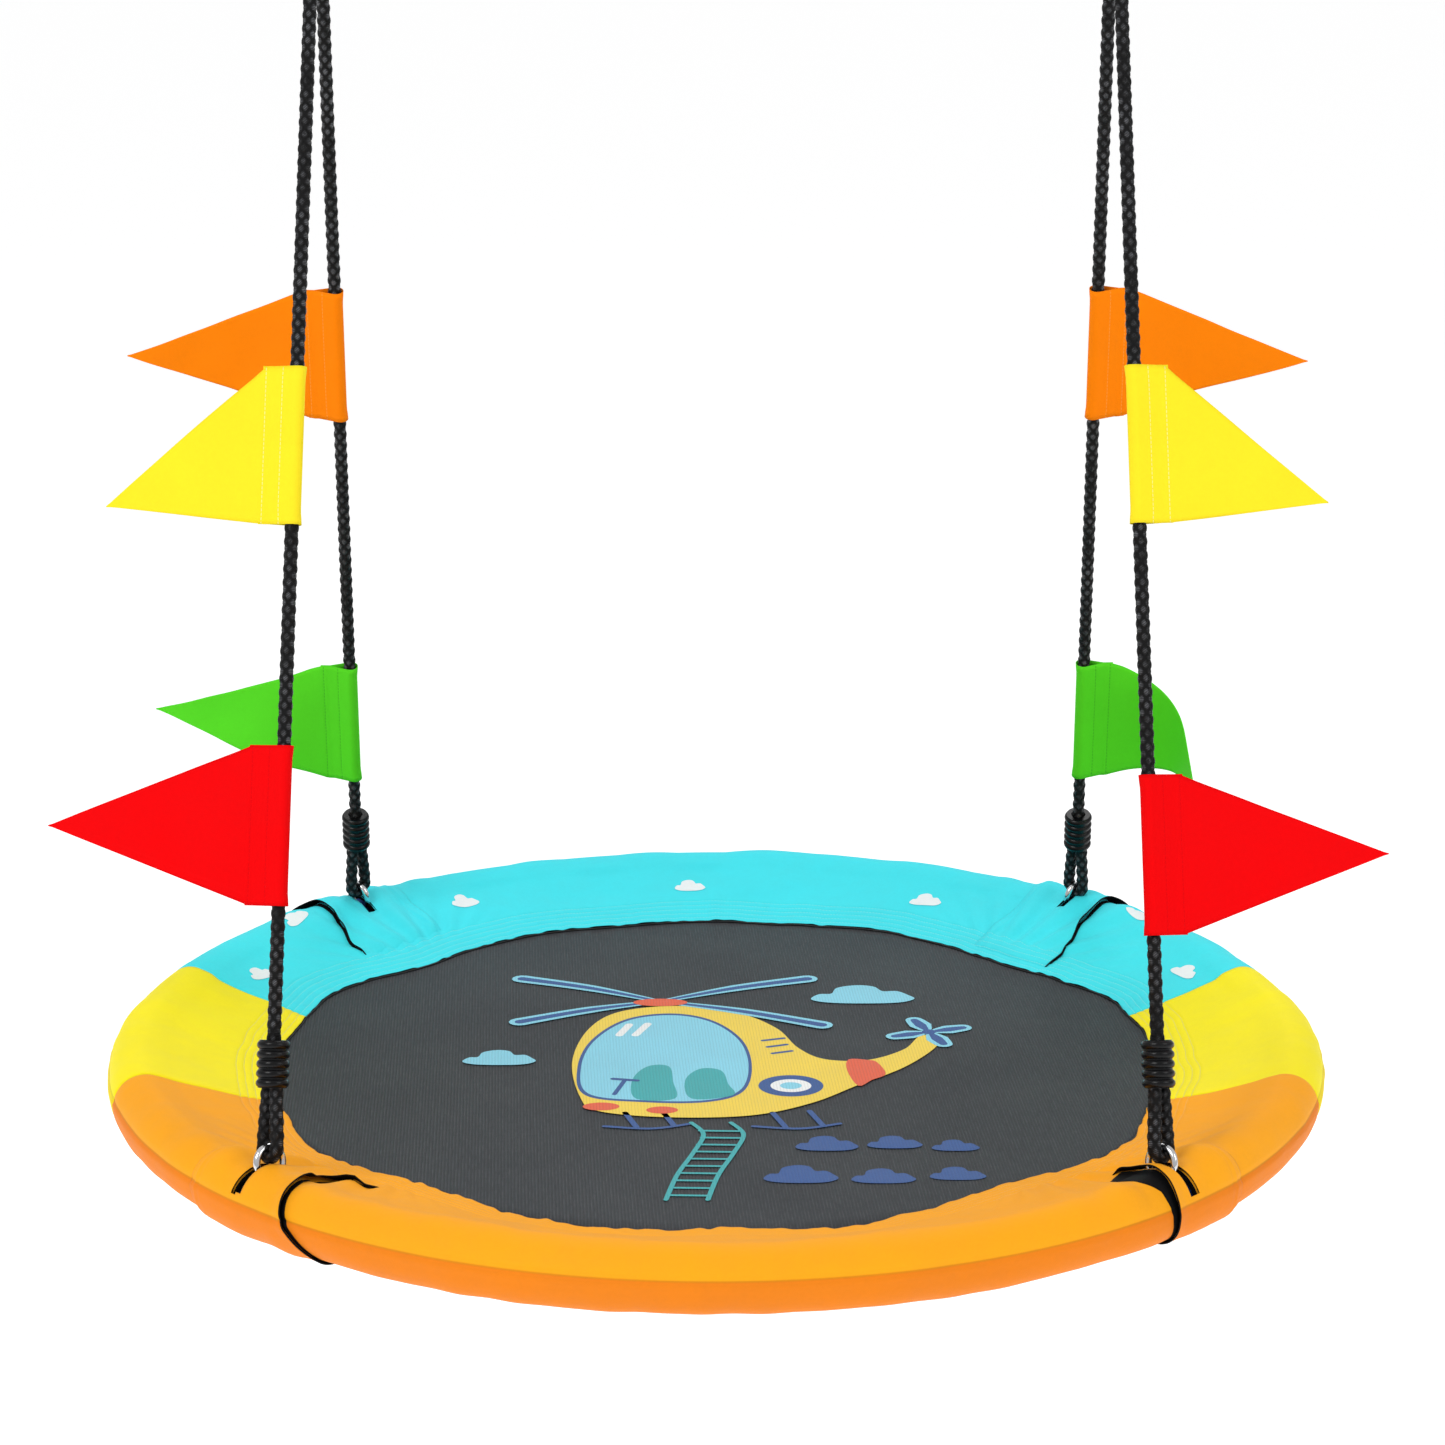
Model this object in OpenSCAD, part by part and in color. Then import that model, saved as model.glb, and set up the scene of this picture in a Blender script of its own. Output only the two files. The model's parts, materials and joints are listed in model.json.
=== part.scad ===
/* [Seat] */
// Outer diameter of the padded rim
seat_d = 1016; // [980:2:1050]
// Thickness of the padded rim, cover included
rim_d = 50; // [49:0.5:52]
// Diameter of the visible woven mat
mat_d = 744; // [700:2:780]
// How far the mat sits below the middle of the rim
mat_drop = 12; // [8:1:14]
// Outer diameter of the steel frame tube
tube_d = 25; // [24:0.5:25.5]
// Wall of the steel frame tube
tube_wall = 1.5; // [1:0.1:2]
// Distance from the middle of the seat to each seat ring, along each axis
ring_xy = 336; // [333:1:338]
// Half of the angle that each side cover takes up
side_cover_half = 16.5; // [12:0.5:20]

/* [Hanging] */
// Distance between the two hooks
hook_spread = 620; // [600:5:672]
// Height from the seat rings up to the top rings
hang_h = 972; // [930:1:1000]
// Diameter of the braided rope
rope_d = 10; // [9.6:0.1:10]
// Wire of the seat rings
seat_ring_wire = 5.6; // [5:0.1:5.6]
// Middle radius of the seat rings
seat_ring_r = 12; // [12:0.1:12.4]
// Wire of the top rings
top_ring_wire = 7; // [6:0.5:7]
// Middle radius of the top rings
top_ring_r = 26.5; // [25:0.5:28]
// Length of a rope clamp
clamp_h = 36; // [30:1:38]

/* [Flags] */
// Height of a flag at its sleeve
flag_h = 122; // [100:1:125]
// Thickness of the folded flag cloth
flag_t = 1.6; // [1.2:0.1:2]

/* [Hooks] */
// Wire of the snap hooks
hook_wire = 9; // [8.6:0.1:9]
// Middle radius of the wide bow
bow_r = 18.5; // [18:0.5:20]
// Middle radius of the small bow
eye_r = 11; // [10.8:0.1:11.5]
// Distance between the middles of the two bows
bow_gap = 51; // [50:0.5:56]
// Length of the lock sleeve
sleeve_l = 14; // [12:0.5:14]

/* [Hidden] */
$fn = 64;
gap = 0.1;             // between neighbours that touch
play = 0.8;            // between a rope eye and its ring
cover_t = 1.6;         // cover cloth and its padding
band_t = 1.6;          // cloth of a wrapped band
strap_t = 1.6;         // webbing
tail = 44;             // from a ring's wire to its clamp, along the rope
rope_r = rope_d / 2;
strand_y = rope_r + 0.1;                  // of each strand from the middle of a clamp

hook_r = hook_wire / 2;
bow_z = hook_r - bow_r;
eye_z = bow_z - bow_gap;
pivot_z = eye_z - eye_r;                  // middle of the wire that carries a top ring
top_ring_z = pivot_z + hook_r + top_ring_wire / 2 + play - top_ring_r;
seat_ring_z = top_ring_z - hang_h;
rim_z = seat_ring_z - 29;                 // middle of the rim
rim_r = (seat_d - rim_d) / 2;
mat_r = mat_d / 2;
mat_z = rim_z - mat_drop;
hook_x = hook_spread / 2;

// Flags: side, front or back, middle height above the seat rings, reach, drop of the tip
FLAGS = [
    [-1, 1, 537, 175, 6], [1, 1, 539, 175, 6],
    [-1, -1, 515, 138, 50], [1, -1, 516, 138, 50],
    [-1, 1, 183, 176, 4], [1, 1, 186, 96, 46],
    [-1, -1, 240, 176, 4], [1, -1, 219, 176, 4]
];

// ---- places along a rope ----

function seat_ring(side, end) = [side * ring_xy, end * ring_xy, seat_ring_z];
function rope_span(side, end) = [side * hook_x, 0, top_ring_z] - seat_ring(side, end);
function rope_len(side, end) = norm(rope_span(side, end));
function lean(v) = acos(v[2] / norm(v));
function heading(v) = atan2(v[1], v[0]);
// Turn about the rope that brings its local X as near to the wanted direction as it goes
function twist(v, aim) =
    let (a = lean(v), b = heading(v))
    atan2(aim * [-sin(b), cos(b), 0], aim * [cos(a) * cos(b), cos(a) * sin(b), -sin(a)]);

// Puts children at a seat ring, with Z up the rope and X towards aim
module along_rope(side, end, aim) {
    v = rope_span(side, end);
    translate(seat_ring(side, end))
        rotate([0, lean(v), heading(v)]) rotate([0, 0, twist(v, aim)]) children();
}

// ---- wire shapes ----

module wire_ring(r, wire) {
    rotate([90, 0, 0]) rotate_extrude() translate([r, 0]) circle(d = wire);
}

module rod(a, b, r) {
    v = b - a;
    translate(a) rotate([0, lean(v), heading(v)]) cylinder(r = r, h = norm(v));
}

module wire_arc(centre, r, from, to, wire) {
    translate(centre) rotate([90, 0, 0]) rotate([0, 0, from])
        rotate_extrude(angle = to - from) translate([r, 0]) circle(d = wire);
}

// ---- frame ----

module tube_arc(from, to, r_out, r_in) {
    rotate([0, 0, from]) rotate_extrude(angle = to - from)
        translate([rim_r, rim_z]) difference() {
            circle(r = r_out);
            circle(r = r_in);
        }
}

joint_angles = [0, 90, 180, 270];
screw_angle = 1.8;     // of each joint screw from its joint

module at_screws() {
    for (a = joint_angles, s = [-1, 1])
        rotate([0, 0, a + s * screw_angle]) translate([rim_r, 0, rim_z]) children();
}

module frame_tube(from) {
    color("dimgray") difference() {
        tube_arc(from + 0.01, from + 89.99, tube_d / 2, tube_d / 2 - tube_wall);
        at_screws() cylinder(r = 2.7, h = 60, center = true);
    }
}

module tube_joiners() {
    r = tube_d / 2 - tube_wall - gap;
    color("silver") difference() {
        union() for (a = joint_angles) tube_arc(a - 3.5, a + 3.5, r, r - 1.5);
        at_screws() cylinder(r = 2.7, h = 60, center = true);
    }
}

module joint_screws() {
    color("silver") at_screws() {
        translate([0, 0, -tube_d / 2 - 0.2]) cylinder(r = 2.5, h = tube_d);
        translate([0, 0, -tube_d / 2 - 2.6]) cylinder(r = 4.2, h = 2.5);
    }
}

// Foam between two hang points, cut short at both for the straps
module foam(middle) {
    color("white") difference() {
        tube_arc(middle - 43, middle + 43, rim_d / 2 - cover_t - gap, tube_d / 2 + gap);
        at_screws() translate([0, 0, -20]) cylinder(r = 4.6, h = 20);
    }
}

// ---- cover ----

// Direction from c of the point where a line from p touches the circle at c, on the
// circle's upper or lower side, counted down from 180 degrees
function touch_angle(p, c, r, up) =
    let (v = c - p)
    180 + atan2(v[1], v[0]) - up * acos(r / norm(v)) - (up > 0 ? 0 : 360);

// Line over the rim: round outside, narrowing to the mouth that holds the mat's edge
function rim_line(r, mouth, inner) =
    let (c = [rim_r, rim_z],
         top = [inner, mat_z + mouth / 2],
         low = [inner, mat_z - mouth / 2],
         first = touch_angle(top, c, r, 1),
         last = touch_angle(low, c, r, -1),
         n = 36)
    concat([top],
           [for (i = [0:n]) let (a = first + (last - first) * i / n)
               c + r * [cos(a), sin(a)]],
           [low]);

// Skin of the rim between an inner and an outer line
module rim_skin(r_out, mouth_out, r_in, mouth_in, inner) {
    out = rim_line(r_out, mouth_out, inner);
    hollow = rim_line(r_in, mouth_in, inner);
    n = len(hollow);
    polygon(concat(out, [for (i = [1:n]) hollow[n - i]]));
}

module radial_slot(angle, width) {
    rotate([0, 0, angle]) translate([rim_r - 30, -width / 2, rim_z + 10])
        cube([49, width, 40]);
}

module all_slots(width) {
    for (end = [-1, 1], side = [-1, 1])
        radial_slot(atan2(end, side), width);
}

module cover(from, to, tint) {
    color(tint) difference() {
        rotate([0, 0, from + 0.01]) rotate_extrude(angle = to - from - 0.02, $fn = 128)
            rim_skin(rim_d / 2, 4.4, rim_d / 2 - cover_t, 1.8, mat_r);
        all_slots(11);
    }
}

module cover_front() { cover(180 + side_cover_half, 360 - side_cover_half, "orange"); }
module cover_back() { cover(side_cover_half, 180 - side_cover_half, "turquoise"); }
module cover_right() { cover(-side_cover_half, side_cover_half, "gold"); }
module cover_left() { cover(180 - side_cover_half, 180 + side_cover_half, "gold"); }

// Cloth wrapped over the rim at a hang point
module band(from, to, tint) {
    color(tint) difference() {
        rotate([0, 0, from]) rotate_extrude(angle = to - from, $fn = 128) intersection() {
            rim_skin(rim_d / 2 + gap + band_t, 4.6 + 2 * band_t, rim_d / 2 + gap, 4.6, mat_r);
            translate([rim_r - 48, rim_z - 100]) square([120, 200]);
        }
        all_slots(10);
    }
}

// ---- mat ----

module seat_mat() {
    color("dimgray") translate([0, 0, mat_z - 0.8]) cylinder(r = mat_r + 8, h = 1.6, $fn = 128);
}

module mat_edging() {
    color("black") translate([0, 0, mat_z + 0.8 + gap]) difference() {
        cylinder(r = mat_r - gap, h = 1.6, $fn = 128);
        translate([0, 0, -1]) cylinder(r = mat_r - 2.5, h = 4, $fn = 128);
    }
}

// ---- straps and rings at the rim ----

// Webbing round the frame tube, with a keeper that holds the ring's wire
module strap(side, end) {
    hole = seat_ring_wire / 2 + 0.5;
    half = 1.45;
    a = atan2(end, side);
    color("royalblue") {
        tube_arc(a - half, a + half, tube_d / 2 + gap + strap_t, tube_d / 2 + gap);
        along_rope(side, end, [side, end, 0]) translate([-3, 0, -seat_ring_r])
            rotate([0, 90, 0]) difference() {
                cylinder(r = hole + strap_t, h = 6);
                translate([0, 0, -1]) cylinder(r = hole, h = 8);
            }
    }
}

module seat_ring_piece(side, end) {
    color("silver") along_rope(side, end, [side, end, 0])
        wire_ring(seat_ring_r, seat_ring_wire);
}

// ---- ropes ----

// Run of one rope's end from its tail, round the ring's wire and out of the clamp, as
// [sideways, along] with the wire's middle at 0
function eye_run(wire) =
    let (r = wire / 2 + play + rope_r)
    concat([[-strand_y, tail + 11], [-strand_y, tail]],
           [for (a = [180:30:360]) r * [cos(a), sin(a)]],
           [[strand_y, tail], [strand_y, tail + 9], [1.2, tail + 26], [0, tail + 34]]);

// Ring of points round p, square to the run's direction t, starting at n
function tube_ring(p, t, n, sides) =
    let (b = cross(t, n))
    [for (k = [0:sides - 1]) let (a = 360 * k / sides)
        p + rope_r * (cos(a) * n + sin(a) * b)];

// Faces of a closed tube of n rings
function tube_faces(n, sides) = concat(
    [for (i = [0:n - 2], k = [0:sides - 1], half = [0, 1])
        let (a = i * sides + k, b = i * sides + (k + 1) % sides)
        half == 0 ? [a, a + sides, b + sides] : [a, b + sides, b]],
    [[for (k = [0:sides - 1]) k],
     [for (k = [sides - 1:-1:0]) (n - 1) * sides + k]]);

function unit(v) = v / norm(v);

// One whole rope: lower eye, standing part and upper eye
module rope(side, end) {
    sides = 8;
    v = rope_span(side, end);
    long = norm(v);
    turn = twist(v, [0, 1, 0]) - twist(v, [side, end, 0]);
    low = eye_run(seat_ring_wire);
    high = eye_run(top_ring_wire);
    steps = 22;
    from = seat_ring_r + tail + 34;
    to = long - top_ring_r - tail - 34;
    // Each entry is a point and the turn of the plane that it lies in
    run = concat(
        [for (q = low) [[0, q[0], seat_ring_r + q[1]], 0]],
        [for (i = [1:steps - 1]) [[0, 0, from + (to - from) * i / steps], turn * i / steps]],
        [for (i = [len(high) - 1:-1:0]) let (q = high[i])
            [[-q[0] * sin(turn), q[0] * cos(turn), long - top_ring_r - q[1]], turn]]);
    n = len(run);
    rings = [for (i = [0:n - 1])
        tube_ring(run[i][0], unit(run[min(i + 1, n - 1)][0] - run[max(i - 1, 0)][0]),
                  [cos(run[i][1]), sin(run[i][1]), 0], sides)];
    color("black") along_rope(side, end, [side, end, 0])
        polyhedron([for (r = rings) for (p = r) p], tube_faces(n, sides), convexity = 10);
}

// Ribbed clamp with one wide mouth for two strands and a round hole for one
module clamp() {
    rib = 3.6;
    color("#1a1a1c") difference() {
        union() {
            cylinder(r = 10.9, h = clamp_h);
            for (i = [0:4])
                translate([0, 0, rib + i * (clamp_h - 2 * rib) / 4])
                    rotate_extrude() translate([9.2, 0]) circle(r = 3.4);
        }
        translate([0, 0, -1]) {
            for (s = [-1, 1]) translate([0, s * strand_y, 0])
                cylinder(r = rope_r + gap, h = 27);
            translate([-rope_r - gap, -strand_y, 0])
                cube([2 * (rope_r + gap), 2 * strand_y, 27]);
            cylinder(r = rope_r + 1.5, h = clamp_h + 2);
        }
    }
}

module lower_clamp(side, end) {
    along_rope(side, end, [side, end, 0])
        translate([0, 0, seat_ring_r + tail]) clamp();
}

module upper_clamp(side, end) {
    along_rope(side, end, [0, 1, 0])
        translate([0, 0, rope_len(side, end) - top_ring_r - tail])
            rotate([180, 0, 0]) clamp();
}

module top_ring(side) {
    color("silver") translate([side * hook_x, 0, top_ring_z])
        rotate([0, 0, 90]) wire_ring(top_ring_r, top_ring_wire);
}

// ---- snap hooks ----

tilt = asin((bow_r - eye_r) / bow_gap);   // of the spine and the gate
gate_x = eye_r * cos(tilt);               // lower end of the gate's line
gate_z = eye_z + eye_r * sin(tilt);
gate_line = bow_gap * cos(tilt);          // length of that line
pin_s = 6;                                // the pin, along the gate's line
gate_top = 38.5;
sleeve_s = 22;

// Puts children on a hook, with +X towards its gate
module at_hook(side) {
    translate([side * hook_x, 0, 0]) mirror([side > 0 ? 0 : 1, 0, 0]) children();
}

// Puts children on the gate's line, with Z up along it
module on_gate_line() {
    translate([gate_x, 0, gate_z]) rotate([0, tilt, 0]) children();
}

module hook(side) {
    color("silver") at_hook(side) difference() {
        union() {
            wire_arc([0, 0, bow_z], bow_r, tilt, 180 - tilt, hook_wire);
            wire_arc([0, 0, eye_z], eye_r, 180 - tilt, 360 + tilt, hook_wire);
            // Rounded corners where the wire's runs meet
            for (p = [[0, gate_line], [1, 0], [1, gate_line]])
                mirror([p[0], 0, 0]) on_gate_line()
                    translate([0, 0, p[1]]) sphere(hook_r + 0.06);
            mirror([1, 0, 0]) on_gate_line() cylinder(r = hook_r, h = gate_line);
            on_gate_line() {
                translate([0, 0, gate_top + 0.8])
                    cylinder(r = hook_r, h = gate_line - gate_top - 0.8);
                // Tongue that the gate's fork turns on
                intersection() {
                    translate([0, 0, -1.2]) cylinder(r = hook_r - 0.3, h = pin_s + 5.2);
                    translate([-10, -2, -5]) cube([20, 4, 25]);
                    union() {
                        translate([0, 0, pin_s]) rotate([90, 0, 0])
                            cylinder(r = 4, h = 20, center = true);
                        translate([-10, -10, -5]) cube([20, 20, pin_s + 5]);
                    }
                }
            }
        }
        on_gate_line() translate([0, 0, pin_s]) rotate([90, 0, 0])
            cylinder(r = 1.3, h = 20, center = true);
    }
}

module gate(side) {
    color("gainsboro") at_hook(side) on_gate_line() difference() {
        union() {
            translate([0, 0, pin_s]) cylinder(r = hook_r, h = gate_top - pin_s);
            intersection() {
                cylinder(r = hook_r, h = pin_s + 1);
                translate([0, 0, pin_s]) rotate([90, 0, 0])
                    cylinder(r = hook_r, h = 20, center = true);
            }
        }
        translate([-10, -2.4, -1]) cube([20, 4.8, pin_s + 6.5]);
        translate([0, 0, pin_s]) rotate([90, 0, 0])
            cylinder(r = 1.3, h = 20, center = true);
        translate([0, 0, pin_s + 8]) cylinder(r = 2.6, h = 20);
    }
}

module gate_pins() {
    color("silver") for (side = [-1, 1]) at_hook(side) on_gate_line()
        translate([0, 0, pin_s]) rotate([90, 0, 0])
            cylinder(r = 1.25, h = hook_wire - 0.6, center = true);
}

// Coil of round wire in the gate's hollow
module gate_spring(side) {
    turns = 6;
    steps = 12;
    sides = 6;
    pitch = 3;
    r = 2;
    wire = 0.4;
    n = turns * steps;
    ring_points = [for (i = [0:n], k = [0:sides - 1])
        let (a = i * 360 / steps, b = k * 360 / sides)
        [(r + wire * cos(b)) * cos(a), (r + wire * cos(b)) * sin(a),
         i * pitch / steps + wire * sin(b)]];
    color("silver") at_hook(side) on_gate_line() translate([0, 0, pin_s + 8.6])
        polyhedron(ring_points, tube_faces(n + 1, sides), convexity = 10);
}

module lock_sleeve(side) {
    color("gray") at_hook(side) on_gate_line() translate([0, 0, sleeve_s])
        difference() {
            union() {
                cylinder(r = 6.9, h = sleeve_l);
                for (i = [0:19]) rotate([0, 0, i * 18])
                    translate([6.9, 0, 0.8]) cylinder(r = 0.45, h = sleeve_l - 1.6, $fn = 16);
            }
            translate([0, 0, -1]) cylinder(r = hook_r + 0.4, h = sleeve_l + 2);
        }
}

// ---- flags ----

module flag(i, tint) {
    f = FLAGS[i];
    v = rope_span(f[0], f[1]);
    fold = rope_r + 0.6;
    half = flag_h / 2;
    shoulder = 24;
    color(tint) along_rope(f[0], f[1], [f[0], 0, 0])
        translate([0, 0, f[2] * norm(v) / v[2]]) difference() {
            union() {
                translate([0, 0, -half]) cylinder(r = fold + flag_t, h = flag_h);
                translate([0, flag_t / 2, 0]) rotate([90, 0, 0]) linear_extrude(flag_t)
                    polygon([[fold, -half], [shoulder, -half], [f[3], -f[4]],
                             [shoulder, half], [fold, half]]);
            }
            cylinder(r = fold, h = flag_h + 10, center = true);
        }
}

frame_tube(180);  // frame_tube_front_left
frame_tube(270);  // frame_tube_front_right
frame_tube(0);  // frame_tube_back_right
frame_tube(90);  // frame_tube_back_left
tube_joiners();
joint_screws();
foam(270);  // foam_front
foam(0);  // foam_right
foam(90);  // foam_back
foam(180);  // foam_left
cover_front();
cover_right();
cover_back();
cover_left();
band(219, 231.5, "orange");  // band_front_left
band(308.5, 321, "orange");  // band_front_right
band(129, 143, "turquoise");  // band_back_left
band(37, 51, "turquoise");  // band_back_right
seat_mat();
mat_edging();
strap(-1, -1);  // strap_front_left
strap(1, -1);  // strap_front_right
strap(-1, 1);  // strap_back_left
strap(1, 1);  // strap_back_right
seat_ring_piece(-1, -1);  // seat_ring_front_left
seat_ring_piece(1, -1);  // seat_ring_front_right
seat_ring_piece(-1, 1);  // seat_ring_back_left
seat_ring_piece(1, 1);  // seat_ring_back_right
rope(-1, -1);  // rope_front_left
rope(1, -1);  // rope_front_right
rope(-1, 1);  // rope_back_left
rope(1, 1);  // rope_back_right
lower_clamp(-1, -1);  // lower_clamp_front_left
lower_clamp(1, -1);  // lower_clamp_front_right
lower_clamp(-1, 1);  // lower_clamp_back_left
lower_clamp(1, 1);  // lower_clamp_back_right
upper_clamp(-1, -1);  // upper_clamp_front_left
upper_clamp(1, -1);  // upper_clamp_front_right
upper_clamp(-1, 1);  // upper_clamp_back_left
upper_clamp(1, 1);  // upper_clamp_back_right
top_ring(-1);  // top_ring_left
top_ring(1);  // top_ring_right
hook(-1);  // hook_left
hook(1);  // hook_right
gate(-1);  // gate_left
gate(1);  // gate_right
gate_pins();
gate_spring(-1);  // gate_spring_left
gate_spring(1);  // gate_spring_right
lock_sleeve(-1);  // lock_sleeve_left
lock_sleeve(1);  // lock_sleeve_right
flag(0, "darkorange");  // flag_upper_back_left
flag(1, "darkorange");  // flag_upper_back_right
flag(2, "yellow");  // flag_upper_front_left
flag(3, "yellow");  // flag_upper_front_right
flag(4, "limegreen");  // flag_lower_back_left
flag(5, "limegreen");  // flag_lower_back_right
flag(6, "red");  // flag_lower_front_left
flag(7, "red");  // flag_lower_front_right
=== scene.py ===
"""Saucer swing: cloth, ropes, prints and finishes built round its fixed frame."""

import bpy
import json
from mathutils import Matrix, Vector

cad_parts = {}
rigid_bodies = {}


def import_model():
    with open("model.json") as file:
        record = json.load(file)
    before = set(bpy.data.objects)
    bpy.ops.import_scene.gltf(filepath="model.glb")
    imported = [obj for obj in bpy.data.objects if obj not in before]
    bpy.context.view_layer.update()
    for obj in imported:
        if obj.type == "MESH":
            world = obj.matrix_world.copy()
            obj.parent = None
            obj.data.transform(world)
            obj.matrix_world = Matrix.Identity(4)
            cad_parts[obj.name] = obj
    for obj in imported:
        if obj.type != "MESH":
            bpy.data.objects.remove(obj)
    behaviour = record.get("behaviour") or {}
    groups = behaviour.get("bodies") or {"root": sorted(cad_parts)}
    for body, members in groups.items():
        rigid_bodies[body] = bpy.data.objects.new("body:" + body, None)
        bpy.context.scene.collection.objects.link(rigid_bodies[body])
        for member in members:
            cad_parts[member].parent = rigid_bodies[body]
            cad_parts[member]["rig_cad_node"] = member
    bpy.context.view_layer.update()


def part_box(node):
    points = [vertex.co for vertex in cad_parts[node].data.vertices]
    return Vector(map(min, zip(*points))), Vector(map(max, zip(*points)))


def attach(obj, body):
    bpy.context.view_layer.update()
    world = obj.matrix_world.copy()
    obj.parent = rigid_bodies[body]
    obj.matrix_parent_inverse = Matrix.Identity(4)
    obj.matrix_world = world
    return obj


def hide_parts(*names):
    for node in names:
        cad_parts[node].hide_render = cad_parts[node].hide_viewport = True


bl_info = {
    "name": "Saucer Swing",
    "version": (1, 0, 0),
    "blender": (4, 5, 0),
    "location": "3D View > Sidebar > Saucer Swing",
    "description": "Builds the cloth, ropes and finishes of a saucer swing",
    "category": "Add Mesh",
}

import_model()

import json
import math

import bpy
import numpy as np
from bpy.props import FloatProperty, FloatVectorProperty, IntProperty, PointerProperty
from mathutils import Vector

MM = 0.001
SIDES = {"left": -1, "right": 1}
ENDS = {"front": -1, "back": 1}
CORNERS = [(end, side) for end in ENDS for side in SIDES]


# ---- places taken from the frame ----

def box_centre(node):
    low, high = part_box(node)
    return (np.array(low) + np.array(high)) / 2


SEAT_RING = {c: box_centre(f"seat_ring_{c[0]}_{c[1]}") for c in CORNERS}
TOP_RING = {s: box_centre(f"top_ring_{s}") for s in SIDES}
COVER_LOW, COVER_HIGH = (np.array(p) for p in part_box("cover_back"))
ROLL_R = (COVER_HIGH[2] - COVER_LOW[2]) / 2          # radius of the rim's roll
RIM_Z = (COVER_HIGH[2] + COVER_LOW[2]) / 2
RIM_R = COVER_HIGH[1] - ROLL_R
MAT_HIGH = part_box("seat_mat")[1]
MAT_Z = MAT_HIGH[2]                                  # top face of the mat
MAT_R = MAT_HIGH[0]
EDGE_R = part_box("mat_edging")[1].x                   # where the cover ends on the mat


def paint(red, green, blue):
    """Linear colour of a paint chip given in steps of 255."""
    return tuple(((c / 255 + 0.055) / 1.055) ** 2.4 for c in (red, green, blue))


# ---- mat and print sizes ----

PRINT_LIFT, LAYER_STEP = 0.00030, 0.00004            # lowest ink, and one ink to the next
CLOUD_WIDE, CLOUD_TALL = 33, 23                      # mm, clouds on the turquoise cloth


# ---- values a user would change ----

def length(name, text, value):
    return FloatProperty(name=name, description=text, default=value,
                         subtype="DISTANCE", unit="LENGTH", precision=4)


def colour(name, text, *chip):
    return FloatVectorProperty(name=name, description=text, default=paint(*chip),
                               subtype="COLOR", size=3, min=0.0, max=1.0)


class SwingSizes(bpy.types.PropertyGroup):
    """Sizes of the swing's cloth and rope"""
    rope_radius: length("Rope radius", "Middle radius of the braided rope", 0.0049)
    braid_depth: length("Braid depth", "How far the strands stand out", 0.0014)
    braid_pitch: length("Braid pitch", "Length of one crossing of the braid", 0.0210)
    cover_cloth: length("Cover cloth", "Thickness of the cover's cloth", 0.0011)
    hem_row_gap: length("Hem row gap", "Distance between the sewn rows", 0.0068)
    fold_height: length("Fold height", "Height of the cover's soft folds", 0.0021)
    pucker_height: length("Pucker height", "Height of the puckers at the hem", 0.0010)
    band_lift: length("Band lift", "How far a band's free edge stands up", 0.0034)
    flag_cloth: length("Flag cloth", "Thickness of the flag's cloth", 0.0006)
    flag_height: length("Flag height", "Height of a flag at its sleeve", 0.122)
    flag_hem: length("Flag hem", "Width of a flag's sewn sleeve", 0.026)
    rib_pitch: length("Mat rib pitch", "Distance between the mat's woven ribs", 0.0026)


class SwingColours(bpy.types.PropertyGroup):
    """Colours of the swing"""
    turquoise: colour("Turquoise", "Cover at the back", 66, 232, 244)
    yellow: colour("Yellow", "Covers at the sides", 255, 240, 20)
    orange: colour("Orange", "Cover at the front", 255, 170, 14)
    mat: colour("Mat", "Woven mat", 37, 41, 46)
    webbing: colour("Webbing", "Straps under the rings", 24, 74, 150)
    rope: colour("Rope", "Braided rope", 9, 9, 10)
    flag_orange: colour("Orange flag", "Upper flags at the back", 255, 134, 6)
    flag_yellow: colour("Yellow flag", "Upper flags at the front", 252, 230, 40)
    flag_green: colour("Green flag", "Lower flags at the back", 88, 222, 40)
    flag_red: colour("Red flag", "Lower flags at the front", 240, 0, 8)
    ink_blue: colour("Blue ink", "Dark lines of the print", 48, 86, 150)
    ink_sky: colour("Sky ink", "Glass and clouds of the print", 140, 214, 236)
    ink_yellow: colour("Yellow ink", "Body of the print", 246, 214, 76)
    ink_red: colour("Red ink", "Small marks of the print", 232, 96, 60)
    ink_teal: colour("Teal ink", "Ladder of the print", 60, 172, 176)


class SwingStage(bpy.types.PropertyGroup):
    """Camera, floor and light"""
    lens: FloatProperty(name="Lens", description="Focal length of the camera",
                        default=87.92, unit="CAMERA")
    eye_drop: length("Camera height", "Height of the camera above the origin", -0.0703)
    eye_back: length("Camera distance", "Distance in front of the origin", 2.8236)
    tilt: FloatProperty(name="Tilt", description="How far the camera looks down",
                        default=math.radians(14.70), subtype="ANGLE", unit="ROTATION")
    floor_drop: length("Floor", "Depth of the floor below the origin", 1.75)
    light: FloatProperty(name="Light", description="Strength of the soft lights",
                         default=1.0, min=0.0)
    floor_size: IntProperty(name="Floor size", description="Width of the floor in metres",
                            default=120, min=10)


def settings():
    scene = bpy.context.scene
    return scene.swing_sizes, scene.swing_colours, scene.swing_stage


# ---- mesh tools ----

def unit(v):
    v = np.asarray(v, float)
    return v / np.linalg.norm(v)


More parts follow.
